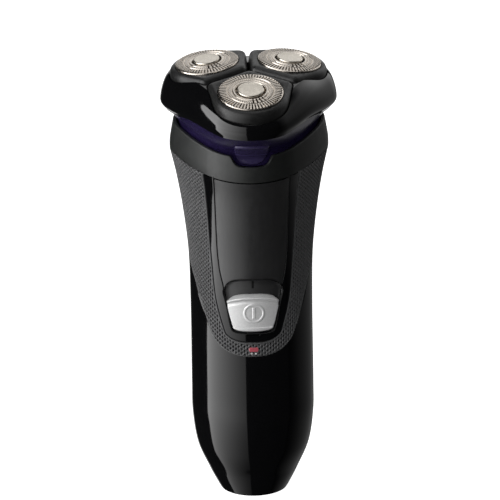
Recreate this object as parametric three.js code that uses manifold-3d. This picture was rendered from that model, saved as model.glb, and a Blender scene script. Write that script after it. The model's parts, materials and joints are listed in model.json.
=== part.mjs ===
// Three-head rotary electric shaver, as an assembly of separate parts.
// Millimetres, +Z up along the handle, the front of the shaver faces -Y.
// The origin is on the ground under the middle of the flat bottom end.

import * as THREE from 'three';
import { mergeVertices } from 'three/addons/utils/BufferGeometryUtils.js';
import Module from 'manifold-3d';

const wasm = await Module();
wasm.setup();

// ---------------------------------------------------------------- driving dimensions

const GAP = 0.35; // clearance left between neighbouring parts
const RING_POINTS = 26; // points round one lofted section
const ROUND = 16; // sides of a round part

// Cross-section shape: four arcs a side, by the direction that their outward normals face.
const FRONT_END = THREE.MathUtils.degToRad(50); // front arc ends, side arc starts
const SIDE_END = THREE.MathUtils.degToRad(66); // side arc ends, rear corner arc starts
const CORNER_END = THREE.MathUtils.degToRad(160); // rear corner arc ends, back arc starts

// Stations of the lofts: [z, y of the widest line, tilt in degrees, half width,
// front radius ratio, side radius ratio, depth scale], each ratio against the corner radius.
// The head's stations add how far the section rises in the valleys beside the front pod, and
// how far it dips behind the gap between the rear pods.
const HANDLE = [
  [0, -0.6, 0, 12.8, 1, 1, 0.98],
  [2, -0.3, 0, 14, 1, 1, 0.96],
  [8, 0, 0, 17, 1, 1, 0.91],
  [18, 0, 0, 21.1, 1, 1.1, 0.88],
  [30, 0, 0, 22.8, 1, 1.3, 0.88],
  [42, 0, 0, 22.9, 1.1, 1.6, 0.86],
  [70, 1, 0, 22.7, 1.2, 2, 0.85],
  [92, 2, 1, 23, 1.3, 3, 0.87],
  [108, 3, 4, 24.6, 1.35, 4, 0.9],
  [121, 4, 8, 26.7, 1.4, 4.7, 0.94],
  [131.5, 4.6, 13, 29, 1.4, 5.2, 0.97],
];
const COLLAR = [
  [131.8, 4.6, 13, 29, 1.4, 5.2, 0.97],
  [135.2, 4.1, 13.5, 28.8, 1.4, 5.2, 0.97],
  [142.3, 2.6, 16, 27.5, 1.4, 5.2, 0.97],
];
const NECK = [
  [136.5, 3.9, 13.5, 25, 1.4, 5.2, 0.97],
  [142.5, 2.7, 16, 25.6, 1.4, 5.2, 0.97],
  [146, 4.2, 4.8, 28.7, 1, 7.2, 1.08, 1.4],
];
const PLUG = [
  [145, 4.2, 4.8, 27.3, 1, 7.2, 1.07],
  [158, 1.6, 13, 26.6, 1, 7.2, 1.04],
];
const SKIRT = [
  [146.6, 4.2, 4.8, 29.4, 1, 7.2, 1.07, 1.4],
  [149.9, 3.4, 6.2, 32, 1, 7.2, 1, 1.6],
  [157.2, 1.6, 13, 29.9, 1, 7.2, 1.02, 2.1, 0.9],
  [160.4, 0.9, 13, 25, 1, 7.2, 1.02, 2.4, 2.6],
];
const VALLEY = { x: 20.5, y: -18.6, reach: 11 }; // where a section rises, on both sides
const REAR_DIP = { y: 17, reach: 5.5 }; // where a section dips
const CASE_WALL = 3; // handle wall, with the inlaid front parts
const INLAY = 1.5; // thickness of the grip, panel and frame laid into the handle
const SPLIT_Y = 3; // plane between the front and rear casings
const COLLAR_WALL = 1.1;
const NECK_WALL = 1;
const SKIRT_WALL = 1.5;

// Head: three pods round a centre, tilted forward on the handle.
const HEAD_TILT = THREE.MathUtils.degToRad(13);
const HEAD_CENTRE = new THREE.Vector3(0, -8, 161.6);
const POD_TILT = THREE.MathUtils.degToRad(7);
const POD_RADIUS = 17.2; // head centre to foil centre
const POD_GAP = 0.75; // half the slot between two pods
const POD_CORNER = 15.4; // half width of a pod at its side corners
const POD_ROUND = 13.4; // radius of a pod's outer end
const POD_TOP = -0.6; // pod surface, below the foil's plane
const POD_BOTTOM = -6;
const POD_WALL = 1.2;
const FOIL_RADIUS = 11.3;
const FOIL_OPENING = 11.65;
const CAP_RADIUS = 4.8;
const BLADES = 9; // lifters on one cutter
const PIVOT_DEPTH = 6; // pod pivot axis, below the foil's plane
const PIVOT = new THREE.Vector3(0, 0, -PIVOT_DEPTH);
const TRUNNION = 0.8;
const TRUNNION_END = 15.1;
const POD_SIDES = { front: 0, left: 240, right: 120 };

// Drive train, in the head's frame: heights are measured along its tilted axis.
const SPINDLE_RING = POD_RADIUS - PIVOT_DEPTH * Math.sin(POD_TILT);
const PINION_TEETH = 12;
const GEAR_TEETH = 18;
const MODULE = (2 * SPINDLE_RING) / (PINION_TEETH + GEAR_TEETH);
const GEAR_LOW = -14.6;
const GEAR_HIGH = -12.6;
const SPINDLE_R = 1.6;
const SHAFT_R = 1;
const FLOOR_TOP = -11.3; // hair chamber floor
const FLOOR_BOTTOM = -12.25;
const PLATE_TOP = -15;
const PLATE_BOTTOM = -16.6;
const MOTOR_R = 11;
const MOTOR_TOP = PLATE_BOTTOM - GAP;
const MOTOR_LENGTH = 26;
const END_CAP = 3;
const CARRIER_TOP = -9.1;
const CARRIER_BOTTOM = -10.5;
const CARRIER_HUB_TOP = -5.6; // stays under the pods' inner corners when they tilt
const CARRIER_DROP = 0.15; // carrier's clearance under the skirt's top wall
const CARRIER_POST = [14.1, 15.4]; // inner and outer face of the posts that hold the pods
const SPINDLE_TIP = { wide: 1.75, narrow: 0.8, length: 2 }; // six-sided taper that turns the cutter
const SPINDLE_HOLE = SPINDLE_R + 0.6; // hole in the hair chamber's floor

// Head hinge at the back, and the release catch at the front.
const HINGE = new THREE.Vector3(0, 25, 147.8);
const HINGE_KNUCKLE = 1.9;
const HINGE_PIN = 0.9;
const HINGE_HALF = 3.8; // half length of the head's knuckle
const EAR_END = 7.4; // outer face of the neck's two ears
const BUTTON_HALF = 6.2;
const BUTTON_TOP = 139.6;
const BUTTON_BOTTOM = 131.2;
const BUTTON_BACK = -17; // rear wall of the button's pocket
const SPRING = { radius: 1.4, wire: 0.25, length: 3.6, turns: 3, y: -19.5, z: 136.5 };

// Front of the handle: half widths by height, from the top down.
const GRIP_EDGE = [
  [31, 97], [22.4, 89], [20.3, 81], [16.8, 69.7], [14.8, 63.6], [10.8, 59.4], [5.8, 57.5],
];
const GRIP_SLOPE = [[-0.5, 92], [13.6, 128]]; // rear edge of the grip's wings, [y, z]
const FRAME_EDGE = [
  [17.2, 127], [15.4, 104], [14.6, 92], [13.4, 79], [10.6, 67.4], [8.8, 64.6], [5.6, 63.4],
];
const PANEL_EDGE = [[13.4, 127], [12.8, 104], [12.1, 92], [10.3, 83.4]]; // ends in the switch recess
const PANEL_HIGH = 145; // the front parts run up to the parting line under the collar
const RECESS_EDGE = [[7.5, 86.4], [9.6, 85.6], [10.6, 83], [8, 67.6], [6.6, 66.7]];
const KNOB_EDGE = [[7, 80.9], [9, 80.1], [9.7, 78.3], [7.4, 68.3], [6.2, 67.2]];
const KNOB_PROUD = 1.2;
const SLIDER_TRAVEL = 4;
const STEM = { halfWidth: 1.9, low: 70, high: 77, front: -16.3, back: -13 }; // slider's stem
const STEM_CLEARANCE = 0.5;
const LED = { z: 60.2, halfWidth: 1.7, halfHeight: 0.75 };

// Inside the handle.
const CELL = { radius: 7.1, length: 49, x: 7.5, y: 4.6, z: 24 };
const BOARD = { halfWidth: 12, y: -8.6, thickness: 1.6, low: 26, high: 98 };
const CHASSIS = { halfWidth: 16.4, y: -4.4, thickness: 1.4, low: 21, high: 100, flange: 6 };
const INLET = { halfWidth: 5, halfDepth: 3, y: -4.5, height: 9 };
const SCREW = { head: 2.4, headHeight: 1.5, shank: 1 };
const SCREW_PLACES = [{ z: 30, tip: 9, seat: 15.4 }, { z: 96, tip: 4, seat: 14.6 }]; // tip and seat in y
const BOSS_SCREW = SCREW_PLACES[1]; // this one is driven into the chassis
const CONTACT = { thickness: 0.6, halfDepth: 3, side: 4 };
const CELL_TIP = { radius: 2.6, height: 1.2 };
const INLET_PIN = { radius: 0.7, x: 1.9, low: 2.2, above: 4 };

// ---------------------------------------------------------------- solids

/** Closed three.js geometry to a manifold solid. */
function solid(geometry) {
  const bare = geometry.index ? geometry.toNonIndexed() : geometry.clone();
  bare.deleteAttribute('normal');
  bare.deleteAttribute('uv');
  const merged = mergeVertices(bare, 1e-4);
  const index = merged.index.array;
  const faces = [];
  for (let i = 0; i < index.length; i += 3) {
    const [a, b, c] = [index[i], index[i + 1], index[i + 2]];
    if (a !== b && b !== c && c !== a) {
      faces.push(a, b, c);
    }
  }
  const vertProperties = new Float32Array(merged.attributes.position.array);
  return new wasm.Manifold(new wasm.Mesh({ numProp: 3, vertProperties, triVerts: new Uint32Array(faces) }));
}

/** Manifold solid back to a three.js geometry. */
function geometryOf(body) {
  const mesh = body.getMesh();
  const points = new Float32Array((mesh.vertProperties.length / mesh.numProp) * 3);
  for (let i = 0; i < points.length / 3; i += 1) {
    points.set(mesh.vertProperties.subarray(i * mesh.numProp, i * mesh.numProp + 3), i * 3);
  }
  const geometry = new THREE.BufferGeometry();
  geometry.setAttribute('position', new THREE.BufferAttribute(points, 3));
  geometry.setIndex(new THREE.BufferAttribute(new Uint32Array(mesh.triVerts), 1));
  return geometry;
}

/** A solid moved by a three.js matrix. */
const moved = (body, matrix) => body.transform(matrix.elements);

/** Smooth hill of height 1, reach wide, at a distance [dx, dy] from its top. */
const bump = (dx, dy, reach) => Math.exp(-(dx * dx + dy * dy) / (reach * reach));

/** One section of a loft; grow is added to its half width. */
function section([z, y, tilt, halfWidth, front, side, depth, lift = 0, dip = 0], grow = 0) {
  const a = halfWidth + grow;
  const reach = front * Math.sin(FRONT_END) + side * (Math.sin(SIDE_END) - Math.sin(FRONT_END));
  const corner = a / (reach + 1 - Math.sin(SIDE_END));
  const back = (a - corner * (1 - Math.sin(CORNER_END))) / Math.sin(CORNER_END);
  const arcs = [
    [FRONT_END, front * corner],
    [SIDE_END, side * corner],
    [CORNER_END, corner],
    [Math.PI, back],
  ];
  const walk = (until) => {
    let [x, depthSoFar, from] = [0, 0, 0];
    for (const [end, radius] of arcs) {
      const to = Math.min(until, end);
      if (to > from) {
        x += radius * (Math.sin(to) - Math.sin(from));
        depthSoFar += radius * (Math.cos(from) - Math.cos(to));
      }
      from = Math.max(from, to);
    }
    return [x, depthSoFar];
  };
  const widest = walk(Math.PI / 2)[1];
  const lean = THREE.MathUtils.degToRad(tilt);
  return Array.from({ length: RING_POINTS }, (_, i) => {
    const turn = (2 * Math.PI * i) / RING_POINTS;
    const mirror = turn > Math.PI ? -1 : 1;
    const [x, fromFront] = walk(turn > Math.PI ? 2 * Math.PI - turn : turn);
    const across = (fromFront - widest) * depth;
    const there = y + across * Math.cos(lean);
    const rise = lift * bump(x - VALLEY.x, there - VALLEY.y, VALLEY.reach);
    const drop = dip * bump(x, there - REAR_DIP.y, REAR_DIP.reach);
    return new THREE.Vector3(mirror * x, there, z + across * Math.sin(lean) + rise - drop);
  });
}

/** Closed solid through rings of equally many points, with a flat cap at each end. */
function throughRings(rings) {
  const count = rings[0].length;
  const points = rings.flat();
  const middle = (ring) => ring.reduce((sum, p) => sum.add(p), new THREE.Vector3()).divideScalar(count);
  const low = points.push(middle(rings[0])) - 1;
  const high = points.push(middle(rings.at(-1))) - 1;
  const top = (rings.length - 1) * count;
  const index = [];
  for (let i = 0; i < count; i += 1) {
    const j = (i + 1) % count;
    index.push(low, j, i, high, top + i, top + j);
    for (let k = 0; k < top; k += count) {
      index.push(k + i, k + j, k + count + j, k + i, k + count + j, k + count + i);
    }
  }
  const geometry = new THREE.BufferGeometry().setFromPoints(points);
  geometry.setIndex(index);
  return solid(geometry);
}

/** Loft through stations; raise moves its two ends out along Z by [low, high]. */
function loft(stations, grow = 0, raise = [0, 0]) {
  const last = stations.length - 1;
  const lifted = stations.map(([z, ...rest], i) => {
    const lift = (i === 0 ? raise[0] : 0) + (i === last ? raise[1] : 0);
    return [z + lift, ...rest];
  });
  return throughRings(lifted.map((station) => section(station, grow)));
}

/** Outline of [x, y] points, extruded between two heights. */
function slab(points, low, high, holes = []) {
  const shape = new THREE.Shape(points.map(([x, y]) => new THREE.Vector2(x, y)));
  for (const hole of holes) {
    shape.holes.push(new THREE.Path(hole.map(([x, y]) => new THREE.Vector2(x, y))));
  }
  const geometry = new THREE.ExtrudeGeometry(shape, { depth: high - low, bevelEnabled: false });
  return solid(geometry.translate(0, 0, low));
}

/** Outline seen from the front, [x, z] points, extruded from one y to another. */
function fromFront(points, nearY, farY) {
  const turned = new THREE.Matrix4().makeRotationX(Math.PI / 2);
  return moved(slab(points, -farY, -nearY), turned);
}

/** Outline seen from the side, [y, z] points, extruded across the whole width. */
function fromSide(points, halfWidth) {
  const turned = new THREE.Matrix4().makeBasis(
    new THREE.Vector3(0, 1, 0),
    new THREE.Vector3(0, 0, 1),
    new THREE.Vector3(1, 0, 0),
  );
  return moved(slab(points, -halfWidth, halfWidth), turned);
}

/** Turned part: closed profile of [radius, height] points about +Z. */
function turned(profile, sides = ROUND, phase = 0) {
  const points = profile.map(([r, z]) => new THREE.Vector2(r, z));
  if (THREE.ShapeUtils.area(points) < 0) {
    points.reverse();
  }
  const closed = points[0].x > 0 || points.at(-1).x > 0 ? [...points, points[0]] : points;
  return solid(new THREE.LatheGeometry(closed, sides, phase).rotateX(Math.PI / 2));
}

const rod = (radius, low, high, sides = ROUND) =>
  turned([[0, low], [radius, low], [radius, high], [0, high]], sides);

const ring = (inner, outer, low, high, sides = ROUND) =>
  turned([[inner, low], [outer, low], [outer, high], [inner, high]], sides);

/** Rod along X or Y between two places on that axis. */
function crossRod(axis, radius, from, to, centre, sides = 12) {
  const turn = new THREE.Matrix4();
  if (axis === 'x') {
    turn.makeRotationY(Math.PI / 2);
  } else {
    turn.makeRotationX(-Math.PI / 2);
  }
  const place = new THREE.Matrix4().makeTranslation(centre.x, centre.y, centre.z);
  return moved(moved(rod(radius, from, to, sides), turn), place);
}

function box(low, high) {
  const size = high.map((v, i) => v - low[i]);
  const geometry = new THREE.BoxGeometry(...size);
  return solid(geometry.translate(...low.map((v, i) => v + size[i] / 2)));
}

/** Mirror a list of [half width, height] points into a closed outline, grown by some clearance. */
function bothSides(edge, grow = 0, top = null) {
  const first = top === null ? edge : [[edge[0][0], top], ...edge];
  const right = first.map(([x, z], i) => [x + grow, z + (i === first.length - 1 ? -grow : 0)]);
  return [...right, ...right.map(([x, z]) => [-x, z]).reverse()];
}

// ---------------------------------------------------------------- scene helpers

const FINISH = {
  gloss: { color: 0x0b0b0d, roughness: 0.12, metalness: 0 },
  satin: { color: 0x3c3d3e, roughness: 0.45, metalness: 0.2 },
  rubber: { color: 0x2e2f30, roughness: 0.8, metalness: 0 },
  indigo: { color: 0x1d1b33, roughness: 0.3, metalness: 0 },
  pod: { color: 0x1a1a1b, roughness: 0.45, metalness: 0 },
  silver: { color: 0xb9bbbd, roughness: 0.3, metalness: 0.8 },
  steel: { color: 0xb5aca0, roughness: 0.3, metalness: 1 },
  inner: { color: 0x4a4c50, roughness: 0.6, metalness: 0 },
  gear: { color: 0xd9d6cc, roughness: 0.5, metalness: 0 },
  board: { color: 0x1d5a34, roughness: 0.5, metalness: 0 },
  cell: { color: 0x2f7fb5, roughness: 0.4, metalness: 0 },
  brass: { color: 0xc2a04c, roughness: 0.35, metalness: 0.9 },
  red: { color: 0xb03030, roughness: 0.2, metalness: 0 },
};

function part(parent, name, body, finish) {
  const mesh = new THREE.Mesh(geometryOf(body), new THREE.MeshStandardMaterial(FINISH[finish]));
  mesh.name = name;
  parent.add(mesh);
  return mesh;
}

const shaver = new THREE.Group();

const head = new THREE.Group();
head.position.copy(HEAD_CENTRE);
head.rotation.x = HEAD_TILT;
shaver.add(head);
head.updateMatrix();
const toHead = head.matrix.clone().invert();

/** Frame of one pod inside the head: its origin is the foil's centre, -Y faces outward. */
function podFrame(degrees) {
  const around = new THREE.Group();
  around.rotation.z = THREE.MathUtils.degToRad(degrees);
  const frame = new THREE.Group();
  frame.position.y = -POD_RADIUS;
  frame.rotation.x = POD_TILT;
  around.add(frame);
  around.updateMatrix();
  frame.updateMatrix();
  return { around, frame, matrix: around.matrix.clone().multiply(frame.matrix) };
}

const pods = Object.entries(POD_SIDES).map(([side, degrees]) => ({ side, ...podFrame(degrees) }));

/** Frame of one spindle inside the head: parallel to the head's axis. */
function spindleFrame(degrees) {
  const around = new THREE.Group();
  around.rotation.z = THREE.MathUtils.degToRad(degrees);
  const frame = new THREE.Group();
  frame.position.y = -SPINDLE_RING;
  around.add(frame);
  around.updateMatrix();
  frame.updateMatrix();
  return { around, frame, matrix: around.matrix.clone().multiply(frame.matrix) };
}

const spindles = Object.entries(POD_SIDES).map(([side, degrees]) => ({ side, ...spindleFrame(degrees) }));

// ---------------------------------------------------------------- handle

/** Layer of the handle between two depths under its surface. */
function handleLayer(outer, inner) {
  return loft(HANDLE, -outer, [1, 0]).subtract(loft(HANDLE, -inner, [-3, 3]));
}

/** Region of the grip: a U in front, and a wing up each side that ends on a slope behind. */
function gripRegion(grow) {
  const front = fromFront(bothSides(GRIP_EDGE, grow, PANEL_HIGH), -45, 16);
  const [[lowY, lowZ], [highY, highZ]] = GRIP_SLOPE;
  const side = fromSide([
    [-45, 50], [lowY, 50], [lowY + grow, lowZ - grow],
    [highY + grow, highZ], [highY + grow, 150], [-45, 150],
  ], 40);
  return front.intersect(side);
}

const frameRegion = (grow) => fromFront(bothSides(FRAME_EDGE, grow, PANEL_HIGH), -45, 0);
const panelRegion = (grow) => fromFront(bothSides(PANEL_EDGE, grow, PANEL_HIGH), -45, 0);

function ledRegion(grow) {
  const [x, half] = [LED.halfWidth + grow, LED.halfHeight + grow];
  return box([-x, -30, LED.z - half], [x, -10, LED.z + half]);
}

/** Slot in the casing that the slider's stem runs in. */
function stemSlot() {
  const x = STEM.halfWidth + STEM_CLEARANCE;
  const high = STEM.high + SLIDER_TRAVEL + STEM_CLEARANCE;
  return box([-x, -30, STEM.low - STEM_CLEARANCE], [x, -10, high]);
}

function inletHole(grow) {
  const [x, depth] = [INLET.halfWidth + grow, INLET.halfDepth + grow];
  return box([-x, INLET.y - depth, -1], [x, INLET.y + depth, 4]);
}

/** Clearance for a case screw, driven in from the back. */
function screwClearance({ z, seat }) {
  const centre = new THREE.Vector3(0, 0, z);
  const shank = crossRod('y', SCREW.shank + GAP, 0, 30, centre);
  return shank.add(crossRod('y', SCREW.head + GAP, seat, 30, centre));
}

function casing() {
  const hollow = loft(HANDLE, -CASE_WALL, [3, 3]);
  const inlaid = gripRegion(GAP).subtract(loft(HANDLE, -INLAY - GAP, [-3, 3]));
  let body = loft(HANDLE).subtract(hollow).subtract(inlaid);
  body = body.subtract(stemSlot()).subtract(ledRegion(GAP)).subtract(inletHole(GAP));
  for (const screw of SCREW_PLACES) {
    body = body.subtract(screwClearance(screw));
  }
  return body;
}

function makeHandleShells() {
  const body = casing();
  const front = box([-60, -60, -10], [60, SPLIT_Y - GAP / 2, 200]);
  const rear = box([-60, SPLIT_Y + GAP / 2, -10], [60, 60, 200]);
  part(shaver, 'front_casing', body.intersect(front), 'gloss');
  part(shaver, 'rear_casing', body.intersect(rear), 'gloss');
}

function makeInlays() {
  const layer = handleLayer(0, INLAY);
  const grip = layer.intersect(gripRegion(0)).subtract(frameRegion(GAP)).subtract(ledRegion(GAP));
  part(shaver, 'grip', grip, 'rubber');
  const recess = fromFront(bothSides(RECESS_EDGE), -45, 0);
  const frame = layer.intersect(frameRegion(0)).subtract(panelRegion(GAP)).subtract(recess);
  part(shaver, 'panel_frame', frame, 'gloss');
  part(shaver, 'front_panel', layer.intersect(panelRegion(0)).subtract(recess), 'satin');
}

function makeCollar() {
  const ringBody = loft(COLLAR).subtract(loft(COLLAR, -COLLAR_WALL, [-2, 2]));
  const dip = bothSides([[9, 150], [6.9, 131.9], [5, 130.4]]); // room for the release button
  part(shaver, 'collar', ringBody.subtract(fromFront(dip, -45, 0)), 'satin');
}

// ---------------------------------------------------------------- slider switch

function makeSlider() {
  const proud = loft(HANDLE, KNOB_PROUD).subtract(loft(HANDLE, -INLAY + 0.1, [-3, 3]));
  part(shaver, 'power_slider', proud.intersect(fromFront(bothSides(KNOB_EDGE), -45, 0)), 'silver');
  const stem = box([-STEM.halfWidth, STEM.front, STEM.low], [STEM.halfWidth, STEM.back, STEM.high]);
  const plate = box([-5, STEM.back - 1.4, STEM.low - 1], [5, STEM.back, STEM.high + 2]);
  part(shaver, 'slider_carrier', stem.add(plate), 'inner');
}

function makeElectronics() {
  const { halfWidth, y, thickness, low, high } = BOARD;
  part(shaver, 'circuit_board', box([-halfWidth, y, low], [halfWidth, y + thickness, high]), 'board');
  const shell = box([-5.5, y - 3.6, 68], [5.5, y - GAP, 84]);
  part(shaver, 'switch_body', shell.subtract(box([-1.4, y - 4, 70], [1.4, y - 2.4, 82])), 'inner');
  const lens = ledRegion(0).intersect(loft(HANDLE, -0.1)).intersect(box([-9, -40, 0], [9, y - GAP, 90]));
  part(shaver, 'status_light', lens, 'red');
}

// ---------------------------------------------------------------- power pack and chassis

function makeChassis() {
  const { halfWidth, y, thickness, low, high, flange } = CHASSIS;
  let body = box([-halfWidth, y - thickness, low], [halfWidth, y, high]);
  for (const side of [-1, 1]) {
    const inner = side * (halfWidth - 1.2);
    const outer = side * halfWidth;
    const near = [Math.min(inner, outer), y - thickness, low];
    body = body.add(box(near, [Math.max(inner, outer), flange, 84]));
  }
  const centre = new THREE.Vector3(0, 0, BOSS_SCREW.z);
  const boss = crossRod('y', 3, y - 0.2, 11, centre);
  const bore = crossRod('y', SCREW.shank + GAP, 1, 12, centre);
  part(shaver, 'chassis', body.add(boss).subtract(bore), 'inner');
}

function makeCells() {
  const { radius, length, x, y, z } = CELL;
  for (const [side, sign] of [['left', -1], ['right', 1]]) {
    const body = rod(radius, 0, length).add(rod(CELL_TIP.radius, length - 1, length + CELL_TIP.height));
    const mesh = part(shaver, `battery_cell_${side}`, body, 'cell');
    mesh.position.set(sign * x, y, z);
  }
  const { thickness, halfDepth, side: reach } = CONTACT;
  const strip = (low) =>
    box([-x - reach, y - halfDepth, low], [x + reach, y + halfDepth, low + thickness]);
  const top = z + length + CELL_TIP.height + GAP;
  part(shaver, 'battery_contact_top', strip(top), 'brass');
  part(shaver, 'battery_contact_bottom', strip(z - GAP - thickness), 'brass');
}

function makeInlet() {
  const { halfWidth, halfDepth, y, height } = INLET;
  const shell = box([-halfWidth, y - halfDepth, 0.3], [halfWidth, y + halfDepth, height]);
  const [socketX, socketY] = [halfWidth - 1.2, halfDepth - 1];
  const socket = box([-socketX, y - socketY, 0], [socketX, y + socketY, height - 2]);
  let body = shell.subtract(socket);
  for (const [side, sign] of [['left', -1], ['right', 1]]) {
    const hole = new THREE.Matrix4().makeTranslation(sign * INLET_PIN.x, y, 0);
    body = body.subtract(moved(rod(INLET_PIN.radius + GAP, 5, 12, 12), hole));
    const shape = rod(INLET_PIN.radius, INLET_PIN.low, height + INLET_PIN.above, 12);
    const pin = part(shaver, `inlet_pin_${side}`, shape, 'brass');
    pin.position.set(sign * INLET_PIN.x, y, 0);
  }
  part(shaver, 'charging_inlet', body, 'inner');
}

function makeScrews() {
  for (const [i, { z, tip, seat }] of SCREW_PLACES.entries()) {
    const centre = new THREE.Vector3(0, 0, z);
    const under = seat + GAP;
    const shank = crossRod('y', SCREW.shank, tip, under + 0.2, centre);
    const top = crossRod('y', SCREW.head, under, under + SCREW.headHeight, centre);
    part(shaver, `case_screw_${i + 1}`, shank.add(top), 'steel');
  }
}

// ---------------------------------------------------------------- neck and catch

/** A solid from the shaver's frame into the head's frame. */
const throughHead = (body) => moved(body, toHead);

const levels = (low, high) => box([-50, -50, low], [50, 50, high]);

/** Space inside the neck, under the hair chamber's floor, in the head's frame. */
function gearSpace(shrink) {
  const inset = -NECK_WALL - shrink;
  const inside = loft(NECK, inset, [-4, 0.5 - shrink]).add(loft(PLUG, inset, [-1, 0]));
  return throughHead(inside).intersect(levels(-40, FLOOR_BOTTOM));
}

function buttonRegion(grow) {
  const edge = [[BUTTON_HALF, BUTTON_TOP + grow], [BUTTON_HALF - 1, 134], [BUTTON_HALF - 2.4, BUTTON_BOTTOM]];
  return fromFront(bothSides(edge, grow), -45, 0);
}

const hingeBore = () => crossRod('x', HINGE_PIN + GAP, -9, 9, HINGE);

function hingeEars() {
  let ears = null;
  for (const side of [-1, 1]) {
    const from = side < 0 ? -EAR_END : HINGE_HALF + GAP;
    const to = side < 0 ? -HINGE_HALF - GAP : EAR_END;
    const knuckle = crossRod('x', HINGE_KNUCKLE, from, to, HINGE);
    const web = box([from, 19.3, HINGE.z - 0.7], [to, HINGE.y, HINGE.z + 1.2]);
    ears = ears ? ears.add(knuckle).add(web) : knuckle.add(web);
  }
  return ears;
}

function makeNeck() {
  let body = throughHead(loft(NECK).add(loft(PLUG))).intersect(levels(-40, FLOOR_TOP));
  body = body.add(throughHead(hingeEars()));
  body = body.subtract(gearSpace(0));
  const knuckleEnd = HINGE_HALF + GAP;
  const knuckleSpace = crossRod('x', HINGE_KNUCKLE + GAP, -knuckleEnd, knuckleEnd, HINGE);
  body = body.subtract(throughHead(knuckleSpace)).subtract(throughHead(hingeBore()));
  const pocket = buttonRegion(GAP).intersect(box([-9, -45, 128], [9, BUTTON_BACK, BUTTON_TOP + GAP]));
  body = body.subtract(throughHead(pocket));
  for (const { matrix } of spindles) {
    body = body.subtract(moved(rod(SPINDLE_HOLE, -14, -10, 12), matrix));
  }
  part(head, 'neck', body, 'indigo');
  part(shaver, 'hinge_pin', crossRod('x', HINGE_PIN, -7, 7, HINGE), 'steel');
}

function makeButton() {
  const face = loft(NECK, 0.4, [-6, 0]);
  const shape = buttonRegion(0).intersect(face.subtract(loft(NECK, -2.2, [-8, 2])));
  part(shaver, 'release_button', shape, 'indigo');
}

function makeReleaseSpring() {
  const { radius, wire, length, turns, y, z } = SPRING;
  const steps = turns * 8;
  const coil = Array.from({ length: steps + 1 }, (_, i) => {
    const angle = (i / 8) * 2 * Math.PI;
    return new THREE.Vector3(radius * Math.cos(angle), (length * i) / steps, radius * Math.sin(angle));
  });
  const wireSection = new THREE.Shape().absarc(0, 0, wire, 0, 2 * Math.PI);
  const extrudePath = new THREE.CatmullRomCurve3(coil);
  const geometry = new THREE.ExtrudeGeometry(wireSection, { steps, extrudePath, curveSegments: 2 });
  const mesh = part(shaver, 'release_spring', solid(geometry), 'steel');
  mesh.position.set(0, y, z);
}

// ---------------------------------------------------------------- drive train

/** Spur gear outline with a tooth centred on each multiple of the pitch from a first angle. */
function gearOutline(teeth, firstTooth) {
  const pitch = (MODULE * teeth) / 2;
  const step = (2 * Math.PI) / teeth;
  const corners = [[-0.3, -1], [-0.14, 0.68], [0.14, 0.68], [0.3, -1]];
  const points = [];
  for (let i = 0; i < teeth; i += 1) {
    for (const [turn, height] of corners) {
      const angle = firstTooth + (i + turn) * step;
      const radius = pitch + height * MODULE;
      points.push([radius * Math.cos(angle), radius * Math.sin(angle)]);
    }
  }
  return points;
}

function circle(radius, count = 12) {
  return Array.from({ length: count }, (_, i) => {
    const angle = (-2 * Math.PI * i) / count;
    return [radius * Math.cos(angle), radius * Math.sin(angle)];
  });
}

function makeDrive() {
  const outward = -Math.PI / 2;
  const pinion = slab(gearOutline(PINION_TEETH, outward), GEAR_LOW, GEAR_HIGH, [circle(SHAFT_R + GAP)]);
  part(head, 'motor_pinion', pinion, 'brass');
  part(head, 'motor_shaft', rod(SHAFT_R, MOTOR_TOP - 3, GEAR_HIGH, 12), 'steel');
  const halfPitch = Math.PI / GEAR_TEETH;
  for (const { side, around, frame } of spindles) {
    head.add(around);
    const outline = gearOutline(GEAR_TEETH, -outward + halfPitch);
    const gear = slab(outline, GEAR_LOW, GEAR_HIGH, [circle(SPINDLE_R + GAP)]);
    part(frame, `drive_gear_${side}`, gear, 'gear');
    const { wide, narrow, length } = SPINDLE_TIP;
    const tipLow = -PIVOT_DEPTH * Math.cos(POD_TILT) - 0.3;
    const tipHigh = tipLow + length;
    const stem = rod(SPINDLE_R, PLATE_BOTTOM + 0.2, tipLow + 0.1, 12);
    const point = turned([[0, tipLow], [wide, tipLow], [narrow, tipHigh], [0, tipHigh]], 6);
    part(frame, `drive_spindle_${side}`, stem.add(point), 'steel');
    const seal = ring(SPINDLE_R + GAP, 3.6, FLOOR_TOP + GAP, FLOOR_TOP + 1.2, 12);
    part(frame, `spindle_seal_${side}`, seal, 'rubber');
  }
}

function makeGearPlate() {
  let body = gearSpace(GAP).intersect(levels(PLATE_BOTTOM, PLATE_TOP));
  body = body.subtract(rod(SHAFT_R + GAP, -20, -10, 12));
  for (const { matrix } of spindles) {
    body = body.subtract(moved(rod(SPINDLE_R + GAP, -20, -10, 12), matrix));
  }
  const half = BUTTON_HALF + 1;
  const catchSpace = box([-half, -50, 120], [half, BUTTON_BACK - 1.5, BUTTON_TOP + 1]);
  part(head, 'gear_plate', body.subtract(throughHead(catchSpace)), 'inner');
}

function makeMotor() {
  const bottom = MOTOR_TOP - MOTOR_LENGTH;
  const bore = rod(SHAFT_R + GAP, MOTOR_TOP - 4, MOTOR_TOP + 1, 12);
  part(head, 'motor_can', rod(MOTOR_R, bottom, MOTOR_TOP).subtract(bore), 'steel');
  const cap = rod(MOTOR_R - 0.6, bottom - END_CAP, bottom - GAP);
  const bearing = rod(3, bottom - END_CAP - 1.5, bottom - END_CAP + 1, 12);
  part(head, 'motor_end_cap', cap.add(bearing), 'inner');
}

// ---------------------------------------------------------------- head

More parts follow.
